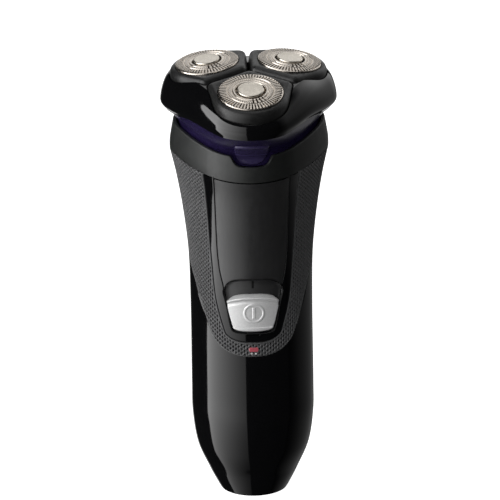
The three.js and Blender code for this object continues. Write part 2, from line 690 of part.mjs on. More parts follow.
/** Pod seen from above in its own frame; grow adds clearance all round. */
function podOutline(grow) {
  const apex = (POD_GAP - grow) / Math.sin(Math.PI / 3);
  const half = POD_CORNER + grow * 0.6;
  const cornerR = apex + half / Math.tan(Math.PI / 3);
  const radius = POD_ROUND + grow;
  const centreR = POD_RADIUS + 0.4;
  const [dx, dy] = [cornerR - centreR, half];
  const touch = Math.atan2(dy, dx) - Math.acos(radius / Math.hypot(dx, dy));
  const local = (r, x) => [x, POD_RADIUS - r];
  const arc = Array.from({ length: 13 }, (_, i) => {
    const angle = touch - (2 * touch * i) / 12;
    return local(centreR + radius * Math.cos(angle), radius * Math.sin(angle));
  });
  return [local(apex, 0), local(cornerR, -half), ...arc.reverse(), local(cornerR, half)];
}

function podPocket(matrix) {
  return moved(slab(podOutline(0.55), POD_BOTTOM - 1.4, 8), matrix);
}

/** Space inside the skirt, in the head's frame. */
function skirtSpace(shrink) {
  const [bottom, wide, edge, top] = SKIRT;
  const lowered = ([z, ...rest], dz) => [z + dz, ...rest];
  const rings = [lowered(bottom, -3), bottom, wide, lowered(edge, -1.2), lowered(top, -1.8)];
  return throughHead(loft(rings, -SKIRT_WALL - shrink));
}

function makeSkirt() {
  let body = throughHead(loft(SKIRT)).subtract(skirtSpace(0));
  const knuckle = crossRod('x', HINGE_KNUCKLE, -HINGE_HALF, HINGE_HALF, HINGE);
  const web = box([-HINGE_HALF, 22.4, HINGE.z], [HINGE_HALF, HINGE.y + 1.2, HINGE.z + 4]);
  const notch = box([-EAR_END - GAP, 16, 140], [EAR_END + GAP, 30, HINGE.z + HINGE_KNUCKLE + GAP]);
  body = body.subtract(throughHead(notch)).add(throughHead(knuckle)).add(throughHead(web));
  body = body.subtract(throughHead(hingeBore()));
  for (const { matrix } of pods) {
    const axle = crossRod('x', TRUNNION + GAP, -TRUNNION_END - GAP, TRUNNION_END + GAP, PIVOT, 8);
    body = body.subtract(podPocket(matrix)).subtract(moved(axle, matrix));
  }
  part(head, 'head_skirt', body, 'gloss');
}

function makeCarrier() {
  let body = levels(CARRIER_BOTTOM, CARRIER_TOP);
  for (const { matrix } of spindles) {
    body = body.subtract(moved(rod(9, -20, 0), matrix));
  }
  body = body.add(rod(1.6, CARRIER_BOTTOM, CARRIER_HUB_TOP, 12));
  for (const { matrix } of pods) {
    for (const side of [-1, 1]) {
      const [inner, outer] = CARRIER_POST.map((v) => v * side);
      const post = box([Math.min(inner, outer), -1.8, -10], [Math.max(inner, outer), 1.4, -4.4]);
      const eye = crossRod('x', TRUNNION + GAP, -16, 16, PIVOT, 8);
      body = body.add(moved(post, matrix)).subtract(moved(eye, matrix));
    }
  }
  const lower = new THREE.Matrix4().makeTranslation(0, 0, -CARRIER_DROP);
  part(head, 'head_carrier', body.intersect(moved(skirtSpace(GAP), lower)), 'inner');
}

function makePod({ side, around, frame }) {
  head.add(around);
  let cover = slab(podOutline(0), POD_BOTTOM, POD_TOP);
  cover = cover.subtract(slab(podOutline(-POD_WALL), POD_BOTTOM - 1, POD_TOP - 1.4));
  cover = cover.subtract(rod(FOIL_OPENING, -8, 1));
  for (const sign of [-1, 1]) {
    const [near, far] = [12.6, TRUNNION_END].map((v) => v * sign);
    cover = cover.add(crossRod('x', TRUNNION, Math.min(near, far), Math.max(near, far), PIVOT, 8));
  }
  part(frame, `pod_${side}`, cover, 'pod');

  const foil = turned([
    [5.3, 0.3], [FOIL_RADIUS - 0.3, 0.3], [FOIL_RADIUS, 0],
    [FOIL_RADIUS, -2.3], [11.9, -2.3], [11.9, -3], [10.9, -3], [10.9, -0.1], [5.3, -0.1],
  ]);
  part(frame, `foil_${side}`, foil, 'steel');
  const cap = turned([[0, -0.9], [CAP_RADIUS, -0.9], [CAP_RADIUS, 0.5], [4.2, 1], [0, 1]]);
  part(frame, `foil_cap_${side}`, cap, 'steel');

  const socket = turned([[0, -7], [3.9, -7], [3.9, -5.7], [1.4, -3.3], [0, -3.3]], 6);
  let cutter = rod(4.7, -5.7, -3.2, 12).add(rod(2.6, -3.4, -1.3, 12)).subtract(socket);
  cutter = cutter.add(ring(4.2, 10.4, -4.2, -3.4));
  for (let i = 0; i < BLADES; i += 1) {
    const turn = new THREE.Matrix4().makeRotationZ((2 * Math.PI * i) / BLADES);
    cutter = cutter.add(moved(box([6, -0.4, -3.6], [10.4, 0.4, -0.5]), turn));
  }
  part(frame, `cutter_${side}`, cutter, 'steel');

  let keeper = ring(10.6, 11.5, -5.9, -4.8).add(ring(5.2, 6.2, -5.9, -4.8, 9));
  for (let i = 0; i < 3; i += 1) {
    const turn = new THREE.Matrix4().makeRotationZ((2 * Math.PI * (i + 0.25)) / 3);
    keeper = keeper.add(moved(box([5.6, -0.8, -5.9], [11, 0.8, -4.8]), turn));
  }
  part(frame, `cutter_retainer_${side}`, keeper, 'pod');
}

// ---------------------------------------------------------------- assembly

makeHandleShells();
makeInlays();
makeCollar();
makeSlider();
makeElectronics();
makeChassis();
makeCells();
makeInlet();
makeScrews();
makeNeck();
makeButton();
makeReleaseSpring();
makeDrive();
makeGearPlate();
makeMotor();
makeSkirt();
makeCarrier();
pods.forEach(makePod);

export default shaver;
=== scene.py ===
"""Three-head rotary electric shaver: the fine surfaces, materials, light and camera.

Lengths are worked out in millimetres and turned into metres when a mesh is made.
The handle, collar, neck and skirt are lofts through stations, like the CAD parts.
"""

import json
import math

import bpy
import numpy as np
from mathutils import Matrix, Vector


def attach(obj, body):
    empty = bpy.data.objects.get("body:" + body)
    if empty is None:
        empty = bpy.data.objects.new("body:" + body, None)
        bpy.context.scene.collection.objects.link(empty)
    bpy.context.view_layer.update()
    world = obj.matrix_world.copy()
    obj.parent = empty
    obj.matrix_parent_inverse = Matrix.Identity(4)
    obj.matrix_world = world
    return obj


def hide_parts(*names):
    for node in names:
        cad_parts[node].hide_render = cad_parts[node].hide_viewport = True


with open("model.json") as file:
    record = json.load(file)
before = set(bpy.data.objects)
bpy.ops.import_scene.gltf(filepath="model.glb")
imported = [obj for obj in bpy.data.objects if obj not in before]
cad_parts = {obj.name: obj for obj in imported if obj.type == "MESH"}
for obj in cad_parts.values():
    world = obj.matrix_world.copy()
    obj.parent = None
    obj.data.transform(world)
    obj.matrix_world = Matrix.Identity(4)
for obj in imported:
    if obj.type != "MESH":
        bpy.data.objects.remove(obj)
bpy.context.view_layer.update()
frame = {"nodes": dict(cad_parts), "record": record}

MM = 0.001
NODES = frame["nodes"]

# ---- driving dimensions (mm)

# A section is four arcs a side, by the direction that their outward normals face.
FRONT_END, SIDE_END, CORNER_END = (math.radians(v) for v in (50, 66, 160))

# Stations: z, y of the widest line, tilt, half width, front ratio, side ratio, depth scale.
# The head's add how far a section rises in the valleys beside the front pod, and how far it
# dips behind the gap between the rear pods.
HANDLE = [
    [0, -0.6, 0, 12.8, 1, 1, 0.98], [2, -0.3, 0, 14, 1, 1, 0.96], [8, 0, 0, 17, 1, 1, 0.91],
    [18, 0, 0, 21.1, 1, 1.1, 0.88], [30, 0, 0, 22.8, 1, 1.3, 0.88],
    [42, 0, 0, 22.9, 1.1, 1.6, 0.86], [70, 1, 0, 22.7, 1.2, 2, 0.85],
    [92, 2, 1, 23, 1.3, 3, 0.87], [108, 3, 4, 24.6, 1.35, 4, 0.9],
    [121, 4, 8, 26.7, 1.4, 4.7, 0.94], [131.5, 4.6, 13, 29, 1.4, 5.2, 0.97],
]
COLLAR = [
    [131.8, 4.6, 13, 29, 1.4, 5.2, 0.97], [135.2, 4.1, 13.5, 28.8, 1.4, 5.2, 0.97],
    [142.3, 2.6, 16, 27.5, 1.4, 5.2, 0.97],
]
NECK = [
    [136.5, 3.9, 13.5, 25, 1.4, 5.2, 0.97], [142.5, 2.7, 16, 25.6, 1.4, 5.2, 0.97],
    [146, 4.2, 4.8, 28.7, 1, 7.2, 1.08, 1.4],
]
PLUG = [[145, 4.2, 4.8, 27.3, 1, 7.2, 1.07], [158, 1.6, 13, 26.6, 1, 7.2, 1.04]]
SKIRT = [
    [146.7, 3.9, 5, 30.2, 1, 7.2, 1.066, 1.4], [149.9, 3.4, 6.2, 32, 1, 7.2, 1, 1.6],
    [157.2, 1.6, 13, 29.9, 1, 7.2, 1.02, 2.1, 0.9], [160.4, 0.9, 13, 25, 1, 7.2, 1.02, 2.4, 2.6],
]
VALLEY = (20.5, -18.6, 11)  # x and y where a section rises, on both sides, and how wide
REAR_DIP = (0, 17, 5.5)  # x and y where it dips, and how wide
SPLIT_Y = 3
SPLIT_HALF = 0.12

HEAD_TILT = math.radians(13)
HEAD_CENTRE = (0, -8, 161.6)
POD_TILT = math.radians(7)
POD_RADIUS = 17.2
POD_GAP = 0.75
POD_CORNER = 15.4
POD_ROUND = 13.4
POD_SIDES = {"front": 0, "left": 240, "right": 120}
FOIL_OPENING = 11.65
HINGE = (0, 25, 147.8)

# Outlines on the front of the handle, from the bottom up: half width, z.
GRIP_FRONT = [
    [0, 57.3], [3, 57.4], [6.4, 57.9], [10.8, 59.6], [14.5, 63.4], [16.8, 69.7], [20.3, 81], [22.4, 89],
]
GRIP_SIDE = [[-0.5, 92], [4.2, 104], [8.9, 116], [12.8, 126]]  # y, z up the rear edge of the wings
FRAME_EDGE = [
    [0, 63.1], [3.4, 63.2], [6.3, 63.7], [8.9, 65], [10.6, 67.6], [13.4, 79], [14.6, 92], [15.4, 104],
    [17, 125],
]
PANEL_EDGE = [
    [0, 66.6], [3.4, 66.6], [6.5, 66.9], [8, 68.3], [9.3, 75], [10.4, 82], [10.6, 84], [12.1, 92],
    [12.8, 104], [13.4, 125],
]
RECESS_TOP = [[0, 86.8], [3.6, 86.7], [6.5, 86.3], [8.7, 85.2], [10, 83.7], [10.6, 82]]
KNOB_EDGE = [
    [0, 81.1], [3.5, 81], [6, 80.6], [7.7, 79.95], [8.9, 78.9], [9.4, 77.7], [9.2, 75.6], [8.4, 72],
    [7.75, 69.4], [6.9, 68], [5.2, 67.35], [2.6, 67.15], [0, 67.1],
]
RECESS = RECESS_TOP + [[10, 79], [9, 74], [7.9, 68.4], [6.6, 66.8], [3.4, 66.4], [0, 66.4]]
SWITCH_TICK = np.array([[-0.4, 83.2], [0.4, 83.2], [0.4, 86.4], [-0.4, 86.4]])
LENS_EDGE = [[0, 61.05], [1.3, 61.02], [1.72, 60.7], [1.8, 60.2], [1.72, 59.7], [1.3, 59.4], [0, 59.37]]
DOT_X, DOT_Z = 0.75, 58.75
BED_DEPTH = 1.45
INLAY_STEP = 1.7


# ---- lofts

def catmull(points, t):
    """Smooth curve through the rows of points, at parameters t, and straight on past both ends."""
    rows = np.asarray(points, float)
    t = np.asarray(t, float)
    last = len(rows) - 1
    i = np.clip(np.floor(t).astype(int), 0, last - 1)
    u = (t - i)[..., None]
    inside = np.clip(u, 0, 1)
    b, c = rows[i], rows[i + 1]
    a = np.where((i > 0)[..., None], rows[np.maximum(i - 1, 0)], 2 * b - c)
    d = np.where((i < last - 1)[..., None], rows[np.minimum(i + 2, last)], 2 * c - b)
    value = 0.5 * (
        2 * b + (c - a) * inside + (2 * a - 5 * b + 4 * c - d) * inside**2
        + (3 * b - a - 3 * c + d) * inside**3
    )
    return value + (u - inside) * (c - b)


def arcs_of(row):
    """The four arc radii of a section, from its station's half width and ratios."""
    half_width, front, side = row[..., 3], row[..., 4], row[..., 5]
    reach = front * math.sin(FRONT_END) + side * (math.sin(SIDE_END) - math.sin(FRONT_END))
    corner = half_width / (reach + 1 - math.sin(SIDE_END))
    back = (half_width - corner * (1 - math.sin(CORNER_END))) / math.sin(CORNER_END)
    return [front * corner, side * corner, corner, back]


COLUMNS = 9  # of a station; the ones left out are 0
SEARCH_STEPS = 26
ARC_ENDS = [(0, FRONT_END), (FRONT_END, SIDE_END), (SIDE_END, CORNER_END), (CORNER_END, math.pi)]


def bump_at(x, y, place):
    """Smooth hill of height 1 at a place (x, y, reach)."""
    return np.exp(-((x - place[0]) ** 2 + (y - place[1]) ** 2) / place[2] ** 2)


def bisected(low, high, below):
    """Where below(value) turns false between low and high, for every point."""
    for _ in range(SEARCH_STEPS):
        middle = (low + high) / 2
        under = below(middle)
        low = np.where(under, middle, low)
        high = np.where(under, high, middle)
    return (low + high) / 2


class Loft:
    """Smooth surface through stations. t counts stations, l is the length round the section in
    millimetres from the front's middle, positive to the right."""

    def __init__(self, stations):
        self.rows = np.array([row + [0] * (COLUMNS - len(row)) for row in stations], float)
        self.last = len(stations) - 1

    def radii(self, t):
        return arcs_of(catmull(self.rows, t))

    def at_angle(self, t, angle):
        row = catmull(self.rows, t)
        level, middle, lean, _, _, _, depth, rise, dip = np.moveaxis(row, -1, 0)
        angle = np.asarray(angle, float)
        sign = np.where(angle < 0, -1.0, 1.0)
        turn = np.abs(angle)
        x = np.zeros(np.broadcast(turn, level).shape)
        d = np.zeros_like(x)
        widest = 0
        for (start, end), radius in zip(ARC_ENDS, arcs_of(row)):
            here = np.clip(turn, start, end)
            x = x + radius * (np.sin(here) - math.sin(start))
            d = d + radius * (math.cos(start) - np.cos(here))
            low, high = min(start, math.pi / 2), min(end, math.pi / 2)
            widest = widest + radius * (math.cos(low) - math.cos(high))
        across = (d - widest) * depth
        lean = np.radians(lean)
        y = middle + across * np.cos(lean)
        z = level + across * np.sin(lean)
        z = z + rise * bump_at(x, y, VALLEY) - dip * bump_at(x, y, REAR_DIP)
        return np.stack([sign * x, y, z], -1)

    def angle_of_length(self, t, length):
        radii = self.radii(t)
        length = np.asarray(length, float)
        left = np.abs(length)
        angle = np.zeros(np.broadcast(left, radii[0]).shape)
        for (start, end), radius in zip(ARC_ENDS, radii):
            whole = radius * (end - start)
            angle = angle + np.clip(left, 0, whole) / radius
            left = np.maximum(left - whole, 0)
        return np.where(length < 0, -angle, angle)

    def length_of_angle(self, t, angle):
        radii = self.radii(t)
        return sum(
            radius * (np.clip(angle, start, end) - start)
            for (start, end), radius in zip(ARC_ENDS, radii)
        )

    def angle_of_x(self, t, x):
        """Angle on the front half where the surface is x out."""
        radii = self.radii(t)
        x = np.asarray(x, float)
        out = np.abs(x)
        x1 = radii[0] * math.sin(FRONT_END)
        x2 = x1 + radii[1] * (math.sin(SIDE_END) - math.sin(FRONT_END))
        sine = np.where(
            out < x1, out / radii[0],
            np.where(
                out < x2, math.sin(FRONT_END) + (out - x1) / radii[1],
                math.sin(SIDE_END) + (out - x2) / radii[2],
            ),
        )
        return np.sign(x) * np.arcsin(np.clip(sine, 0, 1))

    def find_t(self, z, angle_at):
        """t where the surface is at height z, along the line that angle_at(t) gives."""
        low, high = np.full(np.shape(z), -0.4), np.full(np.shape(z), self.last + 0.6)
        return bisected(low, high, lambda t: self.at_angle(t, angle_at(t))[..., 2] < z)

    def from_front(self, x, z):
        """(l, t) of the surface point seen at x, z from straight in front."""
        x, z = np.broadcast_arrays(np.asarray(x, float), np.asarray(z, float))
        t = self.find_t(z, lambda at: self.angle_of_x(at, x))
        angle = self.angle_of_x(t, x)
        return np.sign(x) * self.length_of_angle(t, np.abs(angle)), t

    def angle_of_y(self, t, y):
        """Angle of the right-hand surface point with that y."""
        low, high = np.full(np.shape(t), 0.3), np.full(np.shape(t), math.radians(172))
        return bisected(low, high, lambda angle: self.at_angle(t, angle)[..., 1] < y)

    def from_side(self, y, z):
        """(l, t) of the right-hand surface point at y, z."""
        y, z = np.asarray(y, float), np.asarray(z, float)
        t = self.find_t(z, lambda at: self.angle_of_y(at, y))
        return self.length_of_angle(t, self.angle_of_y(t, y)), t

    def points(self, length, t, height=0.0):
        """Points at (l, t), moved out along the surface's normal by height."""
        here = self.at_angle(t, self.angle_of_length(t, length))
        if np.all(np.asarray(height) == 0):
            return here
        along, up = (
            self.at_angle(t + dt, self.angle_of_length(t + dt, length + dl))
            - self.at_angle(t - dt, self.angle_of_length(t - dt, length - dl))
            for dl, dt in ((0.05, 0), (0, 0.004))
        )
        normal = np.cross(along, up)
        normal /= np.linalg.norm(normal, axis=-1, keepdims=True)
        return here + normal * np.asarray(height)[..., None]


handle = Loft(HANDLE)
collar = Loft(COLLAR)
neck = Loft(NECK)
skirt = Loft(SKIRT)


# ---- meshes

SHARP = 38  # degrees between two faces, from which their edge is sharp


def new_object(name, vertices, faces, sharp=SHARP):
    mesh = bpy.data.meshes.new(name)
    vertices = np.asarray(vertices).reshape(-1, 3) * MM
    mesh.from_pydata([tuple(v) for v in vertices.tolist()], [], faces)
    mesh.validate()
    obj = bpy.data.objects.new(name, mesh)
    bpy.context.scene.collection.objects.link(obj)
    shade(obj, sharp)
    return obj


def shade(obj, sharp):
    mesh = obj.data
    mesh.polygons.foreach_set("use_smooth", [True] * len(mesh.polygons))
    mesh.set_sharp_from_angle(angle=math.radians(sharp))
    mesh.update()


def grid_faces(rows, cols, wrap=False, flip=False, start=0):
    """Quads of a grid of points, row by row; wrap joins the last column to the first."""
    i, j = np.meshgrid(np.arange(rows - 1), np.arange(cols if wrap else cols - 1), indexing="ij")
    k = (j + 1) % cols
    quads = np.stack([i * cols + j, i * cols + k, (i + 1) * cols + k, (i + 1) * cols + j], -1)
    quads = quads.reshape(-1, 4) + start
    return (quads[:, ::-1] if flip else quads).tolist()


def grid_object(name, points, wrap=False, flip=False, sharp=SHARP):
    return new_object(name, points, grid_faces(*points.shape[:2], wrap, flip), sharp)


def joined(name, pieces):
    """One object from several (points, faces) pairs."""
    vertices, faces = [], []
    for points, quads in pieces:
        start = len(vertices)
        vertices.extend(np.asarray(points).reshape(-1, 3).tolist())
        faces.extend([[start + i for i in face] for face in quads])
    return new_object(name, vertices, faces)


def evaluated(obj, sharp=SHARP):
    """Apply obj's modifiers."""
    depsgraph = bpy.context.evaluated_depsgraph_get()
    depsgraph.update()
    mesh = bpy.data.meshes.new_from_object(obj.evaluated_get(depsgraph))
    obj.modifiers.clear()
    obj.data = mesh
    shade(obj, sharp)


def carve(obj, cutters, sharp=SHARP):
    """Cut the cutters out of obj and remove them."""
    for cutter in cutters:
        modifier = obj.modifiers.new("carve", "BOOLEAN")
        modifier.operation = "DIFFERENCE"
        modifier.solver = "EXACT"
        modifier.object = cutter
    evaluated(obj, sharp)
    for cutter in cutters:
        bpy.data.objects.remove(cutter)


def rings_of(rings, angle):
    """Rings of points about +Z, from pairs of a radius (or a run of radii) and a height."""
    return np.stack(
        [np.stack([r * np.cos(angle), r * np.sin(angle), h + 0 * angle], -1) for r, h in rings]
    )


def lathe(profile, sides=96, flip=False):
    """Points and faces of a turned shape about +Z from a list of [radius, height]."""
    angle = np.linspace(0, 2 * math.pi, sides, endpoint=False)
    return rings_of(profile, angle), grid_faces(len(profile), sides, wrap=True, flip=flip)


def placed(points, matrix):
    points = np.asarray(points, float)
    m = np.array(matrix)
    return points @ m[:3, :3].T + m[:3, 3]


def rod_between(start, end, radius, sides=48, bevel=0.3):
    """Rod with rounded rims between two points."""
    start, end = Vector(start), Vector(end)
    length = (end - start).length
    b = min(bevel, radius * 0.5)
    profile = [
        [0, 0], [radius - b, 0], [radius - b * 0.3, b * 0.3], [radius, b],
        [radius, length - b], [radius - b * 0.3, length - b * 0.3], [radius - b, length], [0, length],
    ]
    points, faces = lathe(profile, sides)
    turn = (end - start).to_track_quat("Z", "Y").to_matrix().to_4x4()
    turn.translation = start
    return placed(points, turn), faces


HEAD = Matrix.Translation(HEAD_CENTRE) @ Matrix.Rotation(HEAD_TILT, 4, "X")


def pod_matrix(side):
    around = Matrix.Rotation(math.radians(POD_SIDES[side]), 4, "Z")
    return HEAD @ around @ Matrix.Translation((0, -POD_RADIUS, 0)) @ Matrix.Rotation(POD_TILT, 4, "X")


EDGE_WALL = 1.3
# Edge of an inlaid part: distance in from the edge, height against the surface.
ROLLED = [(0, -EDGE_WALL), (0, -0.28), (0.05, -0.13), (0.14, -0.04), (0.28, 0)]


def edge_positions(width, count):
    """Positions across a strip from 0 to 1, with its rolled edges, and their heights."""
    width = np.asarray(width, float)[..., None]
    inset, rim = np.array(ROLLED).T
    low, high = inset[-1] / width, 1 - inset[-1] / width
    middle = low + (high - low) * np.linspace(0, 1, count + 2)[1:-1]
    v = np.concatenate([inset / width, middle, 1 - inset[::-1] / width], -1)
    h = np.concatenate([rim, np.zeros(count), rim[::-1]])
    return v, np.broadcast_to(h, v.shape)


def half_curve(front, side=()):
    """(l, t) control points of an outline's right half, ending at the top of the handle."""
    front = np.array(front, float)
    l, t = handle.from_front(front[:, 0], front[:, 1])
    rows = [list(p) for p in zip(l, t)]
    for y, z in side:
        length, at = handle.from_side(y, z)
        rows.append([float(length), float(at)])
    top = list(rows[-1])
    rise = (handle.last - top[1]) / (rows[-1][1] - rows[-2][1])
    rows.append([top[0] + (rows[-1][0] - rows[-2][0]) * rise, handle.last])
    return np.array(rows)


def resampled(rows, count):
    """Smooth curve through rows at evenly spaced distances in millimetres."""
    t = np.linspace(0, len(rows) - 1, 600)
    fine = catmull(rows, t)
    place = handle.points(fine[:, 0], fine[:, 1])
    run = np.concatenate([[0], np.cumsum(np.linalg.norm(np.diff(place, axis=0), axis=1))])
    return catmull(rows, np.interp(np.linspace(0, 1, count) * run[-1], run, t))


def mirrored(curve):
    """A right half curve to a whole one, from top left round to top right."""
    return np.concatenate([(curve[::-1] * (-1, 1))[:-1], curve])


GRIP_GAP = 0.3  # between the panel frame and the grip
PANEL_GAP = 0.12  # between the panel and its frame
RATE_LIMITS = (4, 40)  # millimetres of height in one station


def offset_curve(rows, grow):
    """An outline's (l, t) rows moved outward by grow millimetres."""
    t = np.linspace(0, len(rows) - 1, 200)
    fine = catmull(rows, t)
    z = handle.points(fine[:, 0], fine[:, 1])[:, 2]
    dl, dz = np.gradient(fine[:, 0]), np.gradient(z)
    size = np.hypot(dl, dz)
    rate = np.clip(dz / np.maximum(np.gradient(fine[:, 1]), 1e-6), *RATE_LIMITS)
    moved = fine.copy()
    moved[:, 0] += grow * dz / size
    moved[:, 1] -= grow * dl / size / rate
    moved[0, 0] = 0
    moved[-1, 1] = handle.last
    return moved


GRIP_OUT = half_curve(GRIP_FRONT, GRIP_SIDE)
FRAME_OUT = half_curve(FRAME_EDGE)
PANEL_OUT = half_curve(PANEL_EDGE)


# ---- handle

PAINTED_SHADE_FACES = {}  # for each strip with a relief, which faces lie at its bottom and take a painted-shade material
RELIEF_MARGIN, RELIEF_FADE = 0.5, 0.25  # plain rim beside a relief, and how soon the relief sets in


def strip(name, inner, outer, rows, cols, relief=None):
    """Inlaid strip between two half outlines, all the way round from top left to top right."""
    a = mirrored(resampled(inner, rows))
    b = mirrored(resampled(outer, rows))
    width = np.linalg.norm(handle.points(a[:, 0], a[:, 1]) - handle.points(b[:, 0], b[:, 1]), axis=1)
    v, h = edge_positions(width, cols)
    l = a[:, None, 0] + (b - a)[:, None, 0] * v
    t = a[:, None, 1] + (b - a)[:, None, 1] * v
    height = h
    if relief is not None:
        z = handle.points(l, t)[..., 2]
        margin = np.minimum(v, 1 - v) * width[:, None]
        shape = relief(l, z) * np.clip((margin - RELIEF_MARGIN) / RELIEF_FADE, 0, 1)
        height = height + shape
    points = handle.points(l, t, height)
    ends = [handle.points(l[i], t[i], height[i] - EDGE_WALL)[None] for i in (0, -1)]
    points = np.concatenate([ends[0], points, ends[1]])
    obj = grid_object(name, points, flip=True)
    if relief is not None:
        # Faces at the dimple bottoms are marked here for a near-black material: painted shade standing in
        # for the shadow inside each dimple.
        sunk = np.pad(shape, ((1, 1), (0, 0))) < -0.5 * CELL_DEPTH
        PAINTED_SHADE_FACES[name] = (sunk[:-1, :-1] & sunk[1:, 1:]).reshape(-1)
    return obj


CELL_PITCH = (1.08, 1.55)  # between columns and rows of the grip's dimples
CELL_HALF = (0.42, 0.66)  # a dimple's half width and half height
CELL_DEPTH = 0.42


def dimple_relief(l, z):
    """Upright lens-shaped dimples in staggered columns."""
    column = np.round(l / CELL_PITCH[0])
    shifted = z / CELL_PITCH[1] + 0.5 * np.mod(column, 2)
    across = (l - column * CELL_PITCH[0]) / CELL_HALF[0]
    along = (shifted - np.round(shifted)) * CELL_PITCH[1] / CELL_HALF[1]
    inside = np.clip(1 - across**2 - along**2, 0, 1)
    return -CELL_DEPTH * inside**0.6


def make_front():
    grip = strip("grip_surface", offset_curve(FRAME_OUT, GRIP_GAP), GRIP_OUT, 345, 130, dimple_relief)
    frame_strip = strip("panel_frame_surface", offset_curve(PANEL_OUT, PANEL_GAP), FRAME_OUT, 190, 12)
    finish(grip, "handle", "rubber", "grip_rubber", "grip")
    # Near-black second material on the dimple bottoms: painted shade, not a second rubber colour.
    grip.data.materials.append(FINISHES["hollow"])
    grip.data.polygons.foreach_set("material_index", PAINTED_SHADE_FACES["grip_surface"].astype(np.int32))
    finish(frame_strip, "handle", "gloss", "gloss_black", "panel_frame")


PANEL_LENGTH = 45  # from the recess to the collar
PANEL_ROWS = 70
PANEL_ROUND = 0.28


def make_panel():
    """Satin panel, from the top of the switch recess up to the collar."""
    bottom = resampled_plain(RECESS_TOP, 40)
    l0, t0 = handle.from_front(bottom[:, 0], bottom[:, 1])
    low = mirrored(np.stack([l0, t0], -1))
    side = catmull(PANEL_OUT, np.linspace(0, len(PANEL_OUT) - 1, 400))
    share = low[:, 0] / low[-1, 0]
    top_l = np.interp(handle.last, side[:, 1], side[:, 0])
    inset, rim = np.array(ROLLED).T
    rim[0] = -INLAY_STEP
    rise = np.concatenate([inset / PANEL_LENGTH, np.linspace(0.012, 1, PANEL_ROWS)])
    base = np.concatenate([rim, np.zeros(PANEL_ROWS)])
    t = low[None, :, 1] + (handle.last - low[None, :, 1]) * rise[:, None]
    edge = np.interp(t, side[:, 1], side[:, 0])
    l = share[None, :] * np.minimum(edge, top_l + 1)
    edge_gap = (1 - np.abs(share[None, :])) * edge
    height = base[:, None] - PANEL_ROUND * np.clip(1 - edge_gap / PANEL_ROUND, 0, 1) ** 2
    points = handle.points(l, t, height)
    left, right = (handle.points(l[:, i], t[:, i], height[:, i] - EDGE_WALL) for i in (0, -1))
    points = np.concatenate([left[:, None], points, right[:, None]], 1)
    panel = grid_object("front_panel_surface", points)
    finish(panel, "handle", "satin", "satin_graphite", "front_panel")


def resampled_plain(rows, count):
    """Smooth curve through rows at evenly spaced parameters."""
    return catmull(rows, np.linspace(0, len(rows) - 1, count))


def closed_outline(right_half, count):
    """Closed outline from its right half, listed from one middle point to the other."""
    fine = resampled_plain(right_half, 400)
    loop = np.concatenate([fine[:-1], (fine[::-1] * (-1, 1))[:-1]])
    closed = np.concatenate([loop, loop[:1]])
    run = np.concatenate([[0], np.cumsum(np.linalg.norm(np.diff(closed, axis=0), axis=1))])
    at = np.linspace(0, run[-1], count, endpoint=False)
    return np.stack([np.interp(at, run, closed[:, i]) for i in (0, 1)], -1)


def edge_distance(x, z, outline):
    """Distance of points from a closed outline."""
    best = np.full(x.shape, 1e9)
    for a, b in zip(outline, np.roll(outline, -1, 0)):
        d = b - a
        u = np.clip(((x - a[0]) * d[0] + (z - a[1]) * d[1]) / (d @ d), 0, 1)
        best = np.minimum(best, np.hypot(x - a[0] - u * d[0], z - a[1] - u * d[1]))
    return best


def star_patch(loft, outline, centre, rings, height, wall=1.6):
    """Patch on a loft's front inside an outline; height(x, z, edge distance) shapes it, and its
    walls go in by wall."""
    centre = np.array(centre, float)
    share = np.linspace(0, 1, rings + 1)
    flat = centre + (outline[None] - centre) * share[:, None, None]
    x, z = flat[..., 0], flat[..., 1]
    l, t = loft.from_front(x, z)
    h = height(x, z, edge_distance(x, z, outline[::2]))
    points = loft.points(l, t, h)
    points = np.concatenate([points, loft.points(l[-1:], t[-1:], h[-1:] - wall)])
    return points, grid_faces(len(points), len(outline), wrap=True)


def bump_line(value, centre, half, height):
    """Rounded ridge across value."""
    return height * np.clip(1 - ((value - centre) / half) ** 2, 0, 1)


def plateau(distance, half, soft=0.12):
    """1 within half of the middle, falling to 0 over a soft edge."""
    return np.clip((half + soft - distance) / (2 * soft), 0, 1)


PLATE = 1.25  # the knob's height at its bottom
KNOB_MARK = (0.3, 74.4)  # x and z of the middle of the raised mark


def knob_height(x, z, edge):
    """Slide switch: a ridge along the top, a plate with a raised mark and a step at its bottom."""
    ridge = 80.3 - 0.02 * x * x
    plate = PLATE + 0.3 * np.clip((z - 68) / 12, 0, 1)
    plate = plate + bump_line(z, ridge, 0.75, 0.75)
    plate = plate - bump_line(z, ridge - 1.35, 0.85, 0.28)
    plate = plate - 0.35 * plateau(68.9 - z, 0, 0.15) - bump_line(z, 68.95, 0.3, 0.12)
    x, z = x - KNOB_MARK[0], z - KNOB_MARK[1]
    radius = np.hypot(x, z)
    plate = plate + 0.22 * plateau(np.abs(radius - 3.3), 0.36)
    bar = plateau(np.abs(x), 0.5) * plateau(np.abs(z), 2.1)
    return plate + 0.2 * bar - 1.3 * np.clip(1 - edge / 0.8, 0, 1) ** 2.2


def bed_height(x, z, edge):
    return -BED_DEPTH + 0.35 * np.clip(1 - edge / 0.5, 0, 1) ** 2


def make_switch():
    outline = closed_outline(KNOB_EDGE, 420)
    knob, faces = star_patch(handle, outline, (0, 75), 90, knob_height, 1.2)
    slider = new_object("power_slider_surface", knob, faces, 50)
    finish(slider, "slider", "silver", "silver_lacquer", "power_slider")
    bed = star_patch(handle, closed_outline(RECESS, 240), (0, 76.5), 24, bed_height, -2)
    finish(new_object("switch_bed", *bed), "handle", "bed", "satin_graphite")
    mark = star_patch(handle, SWITCH_TICK, (0, 84.8), 2, level_height(-BED_DEPTH + 0.05), 0.1)
    finish(new_object("switch_mark", *mark), "handle", "ink", "gloss_black")


def level_height(height):
    return lambda x, z, edge: height + 0 * x


def lens_height(x, z, edge):
    return 0.1 - 0.18 * np.clip(1 - edge / 0.3, 0, 1) ** 2


